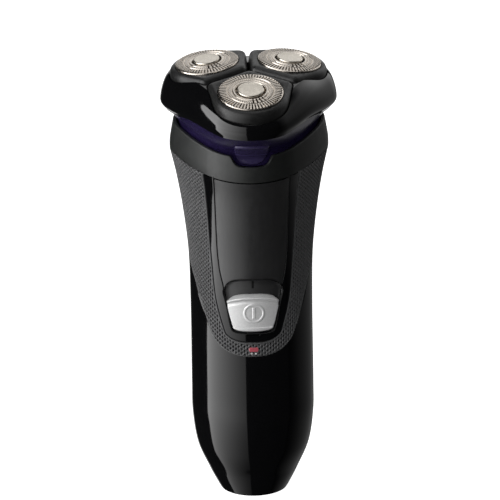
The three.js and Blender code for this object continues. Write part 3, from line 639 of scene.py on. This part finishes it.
def make_light():
    lens = star_patch(handle, closed_outline(LENS_EDGE, 96), (0, 60.2), 12, lens_height)
    finish(new_object("status_light_lens", *lens), "handle", "lens", "red_lens", "status_light")
    for side, x in (("left", -DOT_X), ("right", DOT_X)):
        edge = [[x + 0.4 * math.cos(a), DOT_Z + 0.28 * math.sin(a)] for a in np.arange(0, 6.28, 0.26)]
        dot = star_patch(handle, np.array(edge), (x, DOT_Z), 4, level_height(0.12), 0.5)
        finish(new_object(f"status_dot_{side}", *dot), "handle", "white", "silver_lacquer")


BELOW_GRIP = -5  # stands for no grip at that height
SUNK_RAMP = 0.45  # distance in which the casing sinks under the grip's edge
INLET = np.array([[-5.35, -7.85], [5.35, -7.85], [5.35, -1.15], [-5.35, -1.15]])
CASE_SCREWS = (30, 96)  # their heights


def make_casings():
    base = handle.from_front(0, 57.3)[1]
    grip_low, grip_turn = base - 0.06, base + 0.35
    rows = np.concatenate([
        np.linspace(0, 2, 30)[:-1], np.linspace(2, grip_low, 60)[:-1],
        np.linspace(grip_low, grip_turn, 100)[:-1], np.linspace(grip_turn, handle.last, 120),
    ])
    half = handle.length_of_angle(rows, math.pi)
    outer = catmull(GRIP_OUT, np.linspace(0, len(GRIP_OUT) - 1, 800))
    raised = rows - 0.02
    edge = np.interp(raised, outer[:, 1], outer[:, 0], left=BELOW_GRIP, right=outer[-1, 0])
    edge = np.where(raised < base, BELOW_GRIP, edge) - 0.08
    front_end, rear_start = (
        handle.length_of_angle(rows, handle.angle_of_y(rows, np.full(rows.shape, y)))
        for y in (SPLIT_Y - SPLIT_HALF, SPLIT_Y + SPLIT_HALF)
    )
    shells = []
    for low, high, cols in ((-front_end, front_end, 150), (rear_start, 2 * half - rear_start, 120)):
        v, h = edge_positions(high - low, cols)
        l = low[:, None] + (high - low)[:, None] * v
        wrapped = np.where(l > half[:, None], l - 2 * half[:, None], l)
        sunk = np.clip((edge[:, None] - np.abs(wrapped)) / SUNK_RAMP, 0, 1)
        t = np.broadcast_to(rows[:, None], l.shape)
        shells.append(handle.points(wrapped, t, h - INLAY_STEP * sunk * sunk * (3 - 2 * sunk)))
    front, rear = shells
    foot = new_object("rear_casing_foot", *star_cap(rear[0][1:-1, :2], (0, 8.2)))
    finish(foot, "handle", "gloss", "gloss_black")
    floor = star_cap(front[0][1:-1, :2], (0, -4.5), INLET)
    shell = joined("front_casing_surface", [(front, grid_faces(*front.shape[:2])), floor])
    finish(shell, "handle", "gloss", "gloss_black", "front_casing")
    shell = grid_object("rear_casing_surface", rear)
    drill(shell)
    finish(shell, "handle", "gloss", "gloss_black", "rear_casing")


def thicken(obj, thickness, sharp=SHARP):
    """Give a sheet a thickness in millimetres, inward."""
    modifier = obj.modifiers.new("wall", "SOLIDIFY")
    modifier.thickness = thickness * MM
    modifier.offset = -1
    evaluated(obj, sharp)


def drill(obj):
    """Thicken the rear casing and cut the wells of its two screws."""
    thicken(obj, 1.6)
    wells = [rod_between((0, 12, z), (0, 30, z), 2.75, 64, 0.1) for z in CASE_SCREWS]
    carve(obj, [new_object("cutter", *well) for well in wells])


def ray_radius(polygon, centre, angles):
    """Distance from the centre to a closed polygon in each direction."""
    a = np.asarray(polygon, float) - centre
    b = np.roll(a, -1, 0)
    radius = np.zeros(len(angles))
    for i, angle in enumerate(angles):
        way = np.array([math.cos(angle), math.sin(angle)])
        side = a[:, 0] * way[1] - a[:, 1] * way[0]
        other = b[:, 0] * way[1] - b[:, 1] * way[0]
        crossing = (side * other <= 0) & (np.abs(side - other) > 1e-12)
        share = side[crossing] / (side - other)[crossing]
        hit = a[crossing] + (b - a)[crossing] * share[:, None]
        reach = hit @ way
        radius[i] = reach[reach > 0].max()
    return radius


CAP_COLS = 240


def star_cap(rim, centre, hole=None):
    """Flat bottom inside a rim, closed in the middle or with a walled hole."""
    angles = np.linspace(0, 2 * math.pi, CAP_COLS, endpoint=False)
    outer = ray_radius(rim, np.array(centre), angles)
    inner, wall = np.full(CAP_COLS, 0.01), 0
    if hole is not None:
        inner, wall = ray_radius(hole, np.array(centre), angles), 2.6
    rings = [(outer + (inner - outer) * share, z) for share, z in ((0, 0), (0.5, 0), (1, 0), (1, wall))]
    points = rings_of(rings, angles) + np.array([*centre, 0])
    return points, grid_faces(len(rings), CAP_COLS, wrap=True, flip=True)


# ---- collar, neck, button

COLLAR_DIP = [[0, 130.6], [3.4, 130.7], [5.4, 131.3], [6.7, 132.6], [8.1, 135.2], [9.6, 136.6]]


# Rings of the collar, from the bottom up: share of its height, height against the surface.
COLLAR_FOOT = [(0, -1.1), (0, -0.28), (0.006, -0.13), (0.018, -0.04), (0.035, 0)]
COLLAR_RIM = [
    (0.966, -0.02), (0.984, -0.1), (0.995, -0.24), (1, -0.42), (1, -0.8), (1, -1.15), (0.9, -1.25),
    (0.3, -1.25),
]
NO_LIMIT = 200  # stands for a height above the whole collar


def make_collar():
    cols = 420
    angle = np.linspace(-math.pi, math.pi, cols, endpoint=False)
    top_t = np.full(cols, float(collar.last))
    dip = resampled_plain(COLLAR_DIP, 60)
    where = collar.at_angle(np.full(cols, 1.0), angle)
    top = collar.at_angle(top_t, angle)
    limit = np.interp(np.abs(where[:, 0]), dip[:, 0], dip[:, 1], right=NO_LIMIT)
    limit = np.where(np.cos(angle) > 0, limit, NO_LIMIT)
    cut = limit < top[:, 2]
    found = collar.find_t(limit, lambda at: np.broadcast_to(angle, at.shape))
    top_t = np.where(cut, np.minimum(found, top_t), top_t)
    for _ in range(3):
        top_t = (np.roll(top_t, 1) + 2 * top_t + np.roll(top_t, -1)) / 4
    middle = [(share, 0) for share in np.linspace(0.05, 0.95, 36)]
    rise, height = np.array(COLLAR_FOOT + middle + COLLAR_RIM).T
    t = rise[:, None] * top_t[None]
    l = np.sign(angle) * collar.length_of_angle(t, np.abs(angle))
    points = collar.points(l, t, np.broadcast_to(height[:, None], t.shape))
    band = grid_object("collar_surface", points, wrap=True)
    finish(band, "handle", "collar", "satin_graphite", "collar")


def ring_grid(loft, rows, cols=200):
    """Rings of points on a loft, from its first station to its last."""
    t = np.linspace(0, loft.last, rows)[:, None] + np.zeros((1, cols))
    angle = np.linspace(-math.pi, math.pi, cols, endpoint=False)[None] + np.zeros((rows, 1))
    return loft.points(np.sign(angle) * loft.length_of_angle(t, np.abs(angle)), t)


def closed_body(points):
    """Rings of points closed with a fan at each end, as points and faces."""
    first, last = (points[i].mean(0)[None] + 0 * points[i] for i in (0, -1))
    whole = np.concatenate([first[None], points, last[None]])
    return whole, grid_faces(*whole.shape[:2], wrap=True)


def on_hinge(x):
    return (x, HINGE[1], HINGE[2])


KNUCKLE_RADIUS = 1.9
CHAMBER_FLOOR = -11.3  # in the head's frame


def make_neck():
    plug = placed(ring_grid(Loft(PLUG), 12, 160), HEAD.inverted())
    plug[..., 2] = np.minimum(plug[..., 2], CHAMBER_FLOOR)
    pieces = [closed_body(ring_grid(neck, 50)), closed_body(placed(plug, HEAD))]
    for side in (-1, 1):
        pieces.append(rod_between(on_hinge(side * 4.15), on_hinge(side * 7.4), KNUCKLE_RADIUS))
        web = (side * 5.775, 22.1, HINGE[2] + 0.25)
        pieces.append(rounded_block(web, (1.62, 2.9, 0.95)))
    finish(joined("neck_surface", pieces), "handle", "indigo", "indigo", "neck")


def rounded_block(centre, half):
    """Block with softened edges: a box whose corners are pulled onto a rounded form."""
    n = 9
    u = np.linspace(-1, 1, n)
    pieces, faces, start = [], [], 0
    for axis in range(3):
        for sign in (-1, 1):
            a, b = np.meshgrid(u, u, indexing="ij")
            p = np.zeros((n, n, 3))
            p[..., axis] = sign
            p[..., (axis + 1) % 3] = a
            p[..., (axis + 2) % 3] = b
            pieces.append(p.reshape(-1, 3))
            faces += grid_faces(n, n, flip=sign < 0, start=start)
            start += n * n
    p = np.concatenate(pieces) * half
    r = min(half) * 0.5
    core = np.clip(p, -(np.array(half) - r), np.array(half) - r)
    away = p - core
    size = np.maximum(np.linalg.norm(away, axis=1, keepdims=True), 1e-9)
    return core + away / size * r + np.array(centre), faces


BUTTON_EDGE = [
    [0, 139.5], [3.5, 139.5], [5.9, 139.2], [6.2, 138.2], [5.9, 136.4], [5.2, 133.6], [4.2, 131.9],
    [2.6, 130.9], [0, 130.5],
]


def button_height(x, z, edge):
    """Two facets that meet on a level line, with rounded rims."""
    crease = 135.4
    upper = 0.9 - 0.5 * np.clip((z - crease) / 4.6, 0, 1)
    lower = 0.9 - 0.35 * np.clip((crease - z) / 4.6, 0, 1)
    face = np.where(z > crease, upper, lower) + bump_line(z, crease, 0.35, 0.1)
    return face - 0.75 * np.clip(1 - edge / 0.6, 0, 1) ** 2


# The button's face runs on below the neck's visible band, so its loft starts lower.
neck_low = Loft([[128.5, 4.6, 13, 25, 1.4, 5.2, 0.97]] + NECK)


def make_button():
    outline = closed_outline(BUTTON_EDGE, 260)
    face = star_patch(neck_low, outline, (0, 135.6), 34, button_height, 1.2)
    button = new_object("release_button_surface", *face)
    # The button takes a lighter copy of the indigo: painted light standing in for the top light on its upper
    # facet.
    finish(button, "release", "button", "indigo", "release_button")


# ---- head

OFF_CORNER = 0.001  # turns the rays a little, so that none meets a corner of an outline


def pod_radius(angles, grow):
    """Pod outline about the foil's centre, as a distance in each direction."""
    apex = (POD_GAP - grow) / math.sin(math.pi / 3)
    half = POD_CORNER + grow * 0.6
    corner_r = apex + half / math.tan(math.pi / 3)
    radius = POD_ROUND + grow
    centre_r = POD_RADIUS + 0.4
    dx, dy = corner_r - centre_r, half
    touch = math.atan2(dy, dx) - math.acos(radius / math.hypot(dx, dy))
    turn = np.linspace(-touch, touch, 160)
    arc = np.stack([radius * np.sin(turn), POD_RADIUS - centre_r - radius * np.cos(turn)], -1)
    polygon = np.concatenate(
        [[[0, POD_RADIUS - apex], [-half, POD_RADIUS - corner_r]], arc, [[half, POD_RADIUS - corner_r]]]
    )
    return ray_radius(polygon, np.array([0.0, 0.0]), angles)


def softened(values, reach, half=12):
    """Closed run of values with its corners rounded off."""
    kernel = np.exp(-0.5 * (np.arange(-half, half + 1) / reach) ** 2)
    kernel /= kernel.sum()
    padded = np.concatenate([values[-half:], values, values[:half]])
    return np.convolve(padded, kernel, "valid")


POD_PROFILE = [  # inset from the outline, height
    (1.3, -6), (0.25, -6), (0.05, -5.85), (0, -5.5), (0, -3.4), (0.06, -2.7), (0.22, -2.05), (0.52, -1.5),
    (0.95, -1.08), (1.45, -0.8), (1.95, -0.66), (2.3, -0.6),
]


POD_COLS = 360


def make_pod(side):
    matrix = pod_matrix(side)
    angles = np.linspace(0, 2 * math.pi, POD_COLS, endpoint=False) + OFF_CORNER
    outline = softened(pod_radius(angles, 0), 3.2)
    rings = [(np.maximum(outline - inset, FOIL_OPENING + 0.1), h) for inset, h in POD_PROFILE]
    rings += [(FOIL_OPENING + 0.08, -0.6), (FOIL_OPENING, -0.68), (FOIL_OPENING, -2.2)]
    points = rings_of(rings, angles)
    body = f"pod_{side}_unit"
    cover = grid_object(f"pod_{side}_cover", placed(points, matrix), wrap=True, sharp=45)
    finish(cover, body, "pod", "pod_black", f"pod_{side}")
    make_foil(side, matrix, body)
    make_cap(side, matrix, body)


FOIL_SLITS = 60
SLIT_COLS = 6  # columns from one outer slit to the next
FOIL_COLS = FOIL_SLITS * SLIT_COLS
FOIL_RINGS = [  # radius, height, from the rim inwards
    (11.45, -1.6), (11.45, -0.4), (11.38, -0.2), (11.2, -0.06), (10.9, 0.04), (10.4, 0.12), (9.8, 0.2),
    (9.1, 0.26), (8.6, 0.29), (8.45, 0.27), (8.32, 0.08), (8.12, 0.08), (8, 0.28), (7.7, 0.34), (7.35, 0.37),
    (7, 0.38), (6.75, 0.36), (6.65, 0.18), (6.5, 0.18), (6.4, 0.4), (6.1, 0.52), (5.75, 0.54), (5.5, 0.46),
    (5.35, 0.25), (5.3, -0.7),
]
SLIT_RINGS = range(3, 8)  # rings between which the outer slits are open
SHORT_RINGS = range(12, 15)  # the same of the short inner slits
LONG_RINGS = range(12, 21)  # and of the long ones
LONG_START = 273  # column of the first long slit, from the head's right
MARK_COLS = 43  # columns that the long slits take up
LONG_PITCH, LONG_OPEN = 11, 5  # columns from one long slit to the next, and the open ones


def foil_hole(ring, col, turned_by):
    """Whether the foil is open between this ring and the next one in, at this column."""
    marked = (col + turned_by - LONG_START) % FOIL_COLS
    if marked < MARK_COLS and ring in LONG_RINGS:
        return marked % LONG_PITCH < LONG_OPEN
    if ring in SLIT_RINGS:
        return col % SLIT_COLS < 3
    if ring in SHORT_RINGS:
        return (col + ring // 14 * 3) % SLIT_COLS < 2
    return False


def make_foil(side, matrix, body):
    turned_by = round(POD_SIDES[side] / 360 * FOIL_COLS)
    points, faces = lathe(FOIL_RINGS, FOIL_COLS)
    kept = [
        f for i, f in enumerate(faces) if not foil_hole(i // FOIL_COLS, i % FOIL_COLS, turned_by)
    ]
    foil = new_object(f"foil_{side}_surface", placed(points, matrix), kept)
    thicken(foil, 0.3, 30)
    finish(foil, body, "foil", "foil_steel", f"foil_{side}")


CAP_PROFILE = [
    [0, 0.86], [1.2, 0.86], [2.4, 0.88], [3.5, 0.93], [3.9, 1.0], [4.15, 1.04], [4.4, 1.0], [4.58, 0.88],
    [4.66, 0.7], [4.68, 0.2], [4.68, -1],
]


def make_cap(side, matrix, body):
    points, faces = lathe(CAP_PROFILE, 160, flip=True)
    cap = new_object(f"foil_cap_{side}_surface", placed(points, matrix), faces)
    finish(cap, body, "cap", "foil_steel", f"foil_cap_{side}")


def pod_pocket(side):
    """Solid that cuts a pod's pocket out of the skirt."""
    angles = np.linspace(0, 2 * math.pi, 300, endpoint=False) + OFF_CORNER
    rim = softened(pod_radius(angles, 0.4), 2.6)
    rings = rings_of([(0.001 * rim, -7.4), (rim, -7.4), (rim, 8), (0.001 * rim, 8)], angles)
    return grid_object("pocket", placed(rings, pod_matrix(side)), wrap=True)


SKIRT_WALL = 1.5


def make_skirt():
    outer, faces = closed_body(ring_grid(skirt, 60, 240))
    body = new_object("head_skirt_surface", outer, faces)
    hollow = Loft([
        [row[0] - drop, *row[1:3], row[3] - SKIRT_WALL, *row[4:]]
        for row, drop in zip([SKIRT[0], *SKIRT], (3, 0, 0, 1.2, 1.8))
    ])
    cutters = [new_object("inside", *closed_body(ring_grid(hollow, 50)))]
    cutters += [pod_pocket(side) for side in POD_SIDES]
    cutters.append(new_object("notch", *box_solid((-7.75, 16, 140), (7.75, 30, HINGE[2] + 2.25))))
    carve(body, cutters, 32)
    finish(body, "head_unit", "gloss", "gloss_black", "head_skirt")
    pieces = [
        rod_between(on_hinge(-3.8), on_hinge(3.8), KNUCKLE_RADIUS),
        rounded_block((0, 24.2, HINGE[2] + 2), (3.75, 1.9, 2.1)),
    ]
    finish(joined("head_hinge_knuckle", pieces), "head_unit", "gloss", "gloss_black")


def box_solid(low, high):
    low, high = np.array(low, float), np.array(high, float)
    points = np.array([[(low, high)[(i >> k) & 1][k] for k in range(3)] for i in range(8)])
    faces = [[0, 2, 3, 1], [4, 5, 7, 6], [0, 1, 5, 4], [2, 6, 7, 3], [0, 4, 6, 2], [1, 3, 7, 5]]
    return points, faces


# ---- materials

def set_inputs(node, values):
    for name, value in values.items():
        node.inputs[name].default_value = value


def material(name, base, roughness, *, grain, stretch=(1, 1, 1), metallic=0.0, specular=0.5, coat=0.0,
             mottle=0.0, spread=0.0, rough_scale=400.0, emission=None):
    """Procedural finish. grain is a bump's scale and height in micrometres, mottle a share of the
    base colour, spread how far the roughness varies."""
    mat = bpy.data.materials.new(name)
    mat.use_nodes = True
    tree = mat.node_tree
    shader = tree.nodes["Principled BSDF"]
    set_inputs(shader, {
        "Base Color": (*base, 1), "Roughness": roughness, "Metallic": metallic,
        "Specular IOR Level": specular, "Coat Weight": coat, "Coat Roughness": 0.04,
    })
    if emission:
        set_inputs(shader, {"Emission Color": (*emission[0], 1), "Emission Strength": emission[1]})
    place = tree.nodes.new("ShaderNodeTexCoord")

    def noise(scale, stretch=(1, 1, 1)):
        mapping = tree.nodes.new("ShaderNodeMapping")
        set_inputs(mapping, {"Scale": stretch})
        texture = tree.nodes.new("ShaderNodeTexNoise")
        set_inputs(texture, {"Scale": scale, "Detail": 3.0})
        tree.links.new(place.outputs["Object"], mapping.inputs["Vector"])
        tree.links.new(mapping.outputs["Vector"], texture.inputs["Vector"])
        return texture.outputs["Fac"]

    def ranged(value, low, high):
        node = tree.nodes.new("ShaderNodeMapRange")
        set_inputs(node, {"From Min": 0.3, "From Max": 0.7, "To Min": low, "To Max": high})
        tree.links.new(value, node.inputs["Value"])
        return node.outputs["Result"]

    if mottle:
        ramp = tree.nodes.new("ShaderNodeMix")
        ramp.data_type = "RGBA"
        set_inputs(ramp, {
            "A": (*[c * (1 - mottle) for c in base], 1),
            "B": (*[min(1, c * (1 + mottle)) for c in base], 1),
        })
        tree.links.new(ranged(noise(rough_scale * 1.7, stretch), 0, 1), ramp.inputs["Factor"])
        tree.links.new(ramp.outputs["Result"], shader.inputs["Base Color"])
    if spread:
        varied = ranged(noise(rough_scale), max(0.02, roughness - spread), roughness + spread)
        tree.links.new(varied, shader.inputs["Roughness"])
    bump = tree.nodes.new("ShaderNodeBump")
    set_inputs(bump, {"Strength": 1.0, "Distance": grain[1] * 1e-6})
    tree.links.new(noise(grain[0], stretch), bump.inputs["Height"])
    tree.links.new(bump.outputs["Normal"], shader.inputs["Normal"])
    return mat


UPRIGHT = (1, 1, 0.03)
CROSSWISE = (0.1, 1, 1)
FINISHES = {
    "gloss": material("gloss_black_plastic", (0.003, 0.003, 0.0034), 0.06, grain=(260, 2),
                      mottle=0.1, spread=0.02, rough_scale=90),
    "satin": material("satin_panel", (0.02, 0.02, 0.0205), 0.34, specular=0.65,
                      grain=(5200, 6), stretch=UPRIGHT, mottle=0.12, spread=0.05),
    "collar": material("satin_collar", (0.011, 0.012, 0.0115), 0.42, specular=0.45,
                       grain=(2600, 6), mottle=0.1, spread=0.05),
    "bed": material("satin_bed", (0.022, 0.022, 0.0225), 0.42, specular=0.6,
                    grain=(3600, 14), stretch=CROSSWISE, mottle=0.15, spread=0.06),
    "rubber": material("grip_rubber", (0.075, 0.075, 0.077), 0.42, grain=(5200, 8),
                       mottle=0.12, spread=0.08, rough_scale=900),
    # Painted shade: near-black copy of the grip rubber for the dimple bottoms, standing in for the shadow
    # inside them.
    "hollow": material("grip_rubber_painted_shade", (0.006, 0.006, 0.0065), 0.7, specular=0.2,
                       grain=(5200, 10), mottle=0.2, spread=0.1, rough_scale=900),
    "indigo": material("indigo_plastic", (0.021, 0.014, 0.06), 0.2, grain=(300, 3),
                       mottle=0.12, spread=0.04, rough_scale=120),
    # Painted light: the whole button is a lighter copy of the neck's indigo plastic, standing in for the top
    # light on its upward facet.
    "button": material("indigo_button_painted_light", (0.042, 0.032, 0.095), 0.26, grain=(300, 3),
                       mottle=0.12, spread=0.04, rough_scale=120),
    "pod": material("satin_black_plastic", (0.012, 0.012, 0.012), 0.36, specular=0.4,
                    grain=(2600, 26), mottle=0.2, spread=0.08, rough_scale=700),
    "foil": material("ground_foil_steel", (0.7, 0.64, 0.57), 0.24, metallic=1, grain=(3000, 2),
                     mottle=0.12, spread=0.08, rough_scale=1500),
    "cap": material("cap_steel", (0.74, 0.69, 0.61), 0.32, metallic=1, grain=(1500, 4),
                    mottle=0.08, spread=0.08, rough_scale=500),
    "silver": material("silver_lacquer", (0.77, 0.77, 0.77), 0.4, metallic=0.25,
                       grain=(4200, 4), mottle=0.05, spread=0.06, rough_scale=900),
    "white": material("white_print", (0.75, 0.75, 0.74), 0.4, grain=(2000, 3), mottle=0.05),
    "lens": material("red_lens", (0.36, 0.05, 0.07), 0.3, coat=0.4, grain=(900, 5), mottle=0.3,
                     rough_scale=1400, emission=((0.9, 0.25, 0.3), 0.1)),
    "ink": material("mark_ink", (0.002, 0.002, 0.002), 0.5, specular=0.2, grain=(3000, 4),
                    mottle=0.2),
    "inner": material("inner_plastic", (0.06, 0.062, 0.066), 0.5, grain=(1800, 10), mottle=0.12,
                      spread=0.08),
    "gear": material("acetal", (0.68, 0.66, 0.6), 0.42, grain=(1200, 6), mottle=0.05,
                     spread=0.06),
    "steel": material("bright_steel", (0.52, 0.52, 0.52), 0.28, metallic=1, grain=(1800, 5),
                      mottle=0.1, spread=0.08),
    "brass": material("contact_brass", (0.6, 0.42, 0.17), 0.3, metallic=1, grain=(1500, 5),
                      mottle=0.12, spread=0.08),
    "sleeve": material("cell_sleeve", (0.05, 0.2, 0.42), 0.3, grain=(500, 6), mottle=0.1,
                       spread=0.05),
    "mask": material("solder_mask", (0.015, 0.11, 0.045), 0.3, grain=(1600, 8), mottle=0.2,
                     spread=0.06),
}


def finish(obj, body, look, slot, *nodes):
    """Give a new piece its material, the body it rides on and the nodes that it stands for."""
    obj.data.materials.clear()
    obj.data.materials.append(FINISHES[look])
    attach(obj, body)
    if nodes:
        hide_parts(*nodes)


SLOT_LOOKS = {
    "gloss_black": "gloss", "satin_graphite": "satin", "grip_rubber": "rubber", "indigo": "indigo",
    "pod_black": "pod", "foil_steel": "foil", "silver_lacquer": "silver", "inner_grey": "inner",
    "gear_white": "gear", "bright_steel": "steel", "contact_brass": "brass", "cell_sleeve": "sleeve",
    "board_green": "mask", "red_lens": "lens",
}


def finish_nodes():
    """The CAD parts that stay in view or lie inside take their slot's finish."""
    for part in frame["record"]["subparts"]:
        mesh = NODES[part["node"]].data
        mesh.materials.clear()
        mesh.materials.append(FINISHES[SLOT_LOOKS[part["material_slot"]]])


# ---- stage, light, camera

CAMERA_RISE = math.radians(17)
CAMERA_TURN = math.radians(-1.6)
CAMERA_ROLL = math.radians(-0.8)
CAMERA_AWAY = 757
CAMERA_LENS = 147.96
CAMERA_SHIFT = -0.0018
AIM = Vector((0, 0, 92.5))


def make_camera():
    back = Vector((
        math.sin(CAMERA_TURN) * math.cos(CAMERA_RISE), -math.cos(CAMERA_TURN) * math.cos(CAMERA_RISE),
        math.sin(CAMERA_RISE),
    ))
    right = Vector((math.cos(CAMERA_TURN), math.sin(CAMERA_TURN), 0))
    up = back.cross(right)
    rolled = right * math.cos(CAMERA_ROLL) + up * math.sin(CAMERA_ROLL)
    up = up * math.cos(CAMERA_ROLL) - right * math.sin(CAMERA_ROLL)
    data = bpy.data.cameras.new("camera")
    data.sensor_width = 36
    data.lens = CAMERA_LENS
    data.shift_x = CAMERA_SHIFT
    data.clip_start = 0.01
    data.clip_end = 30
    camera = bpy.data.objects.new("camera", data)
    turn = Matrix((rolled, up, back)).transposed().to_4x4()
    turn.translation = (AIM + back * CAMERA_AWAY) * MM
    camera.matrix_world = turn
    bpy.context.scene.collection.objects.link(camera)
    bpy.context.scene.camera = camera


CARD_AWAY = 1000
CARD_LEVEL = 90  # height of the cards' common centre
CARD_POINTS = 90  # along each edge of a card


def soft_card(name, azimuths, rises, glow, lights=True, shows=True):
    """Curved softbox round the shaver. Azimuth is counted from the front, positive to the left;
    glow(azimuth share, rise share) gives its brightness."""
    share_a, share_e = np.meshgrid(*[np.linspace(0, 1, CARD_POINTS)] * 2)
    a = np.radians(azimuths[0] + (azimuths[1] - azimuths[0]) * share_a)
    e = np.radians(rises[0] + (rises[1] - rises[0]) * share_e)
    points = CARD_AWAY * np.stack([-np.sin(a) * np.cos(e), -np.cos(a) * np.cos(e), np.sin(e)], -1)
    card = grid_object(name, points + np.array([0, 0, CARD_LEVEL]))
    brightness = card.data.attributes.new("glow", "FLOAT", "POINT")
    brightness.data.foreach_set("value", glow(share_a, share_e).reshape(-1).astype(np.float32))
    mat = bpy.data.materials.new(name)
    mat.use_nodes = True
    tree = mat.node_tree
    tree.nodes.clear()
    read = tree.nodes.new("ShaderNodeAttribute")
    read.attribute_name = "glow"
    emit = tree.nodes.new("ShaderNodeEmission")
    out = tree.nodes.new("ShaderNodeOutputMaterial")
    tree.links.new(read.outputs["Fac"], emit.inputs["Strength"])
    tree.links.new(emit.outputs["Emission"], out.inputs["Surface"])
    card.data.materials.append(mat)
    card.visible_camera = False
    card.visible_shadow = False
    card.visible_diffuse = lights
    card.visible_glossy = shows


DOME_RADIUS = 5000
FLOOR_Z = -0.05


def make_stage():
    scene = bpy.context.scene
    scene.view_settings.view_transform = "Standard"
    world = bpy.data.worlds.new("world")
    world.use_nodes = True
    set_inputs(world.node_tree.nodes["Background"], {"Color": (0.9, 0.95, 1, 1), "Strength": 0.015})
    scene.world = world

    white = bpy.data.materials.new("backdrop")
    white.use_nodes = True
    set_inputs(white.node_tree.nodes["Principled BSDF"], {
        "Base Color": (0.85, 0.85, 0.85, 1), "Roughness": 0.9, "Emission Color": (1, 1, 1, 1),
        "Emission Strength": 1.0,
    })

    arc = np.linspace(0, math.pi, 40)
    dome = [[max(DOME_RADIUS * math.sin(a), 0.5), DOME_RADIUS * math.cos(a)] for a in arc]
    dome = new_object("backdrop", *lathe(dome, 64))
    floor = new_object("floor", *lathe([[radius, FLOOR_Z] for radius in (0.5, 200, 1200, 4000)]))
    for obj in (dome, floor):
        obj.data.materials.append(white)
        obj.visible_glossy = False
        obj.visible_diffuse = False
        obj.visible_transmission = False
        obj.visible_shadow = False

    soft_card("key_card", (12, 92), (-64, 50), lambda a, e: (
        (0.8 + 4.6 * a**1.3) * np.clip(0.12 + 1.6 * e, 0, 1)), lights=False)
    soft_card("key_fill", (12, 92), (-45, 50), lambda a, e: (
        (0.75 + 2.4 * a**1.2) * np.clip(0.3 + 1.3 * e, 0, 1)), shows=False)
    soft_card("right_card", (-66, -150), (-72, 62), lambda a, e: (
        a**1.3 * (0.3 + 1.1 * np.clip((e - 0.5) / 0.25, 0, 1)) * np.clip(5 * np.sin(np.pi * e), 0, 1)),
        lights=False)
    soft_card("fill_card", (-60, -130), (-10, 60), lambda a, e: 0.25 + 0 * a, shows=False)
    soft_card("front_fill", (-30, 50), (5, 60), lambda a, e: 0.9 + 0 * a, shows=False)
    soft_card("rear_card", (158, 202), (-60, 66), lambda a, e: 0.8 + 0 * a)
    soft_card("top_card", (-180, 180), (68, 90), lambda a, e: 0.9 + 0 * a)
    soft_card("floor_card", (-180, 180), (-90, -79), lambda a, e: 0.7 + 0 * a, lights=False)


# ---- build

make_camera()
make_stage()
finish_nodes()
make_casings()
make_front()
make_panel()
make_switch()
make_light()
make_collar()
make_neck()
make_button()
make_skirt()
for pod_side in POD_SIDES:
    make_pod(pod_side)
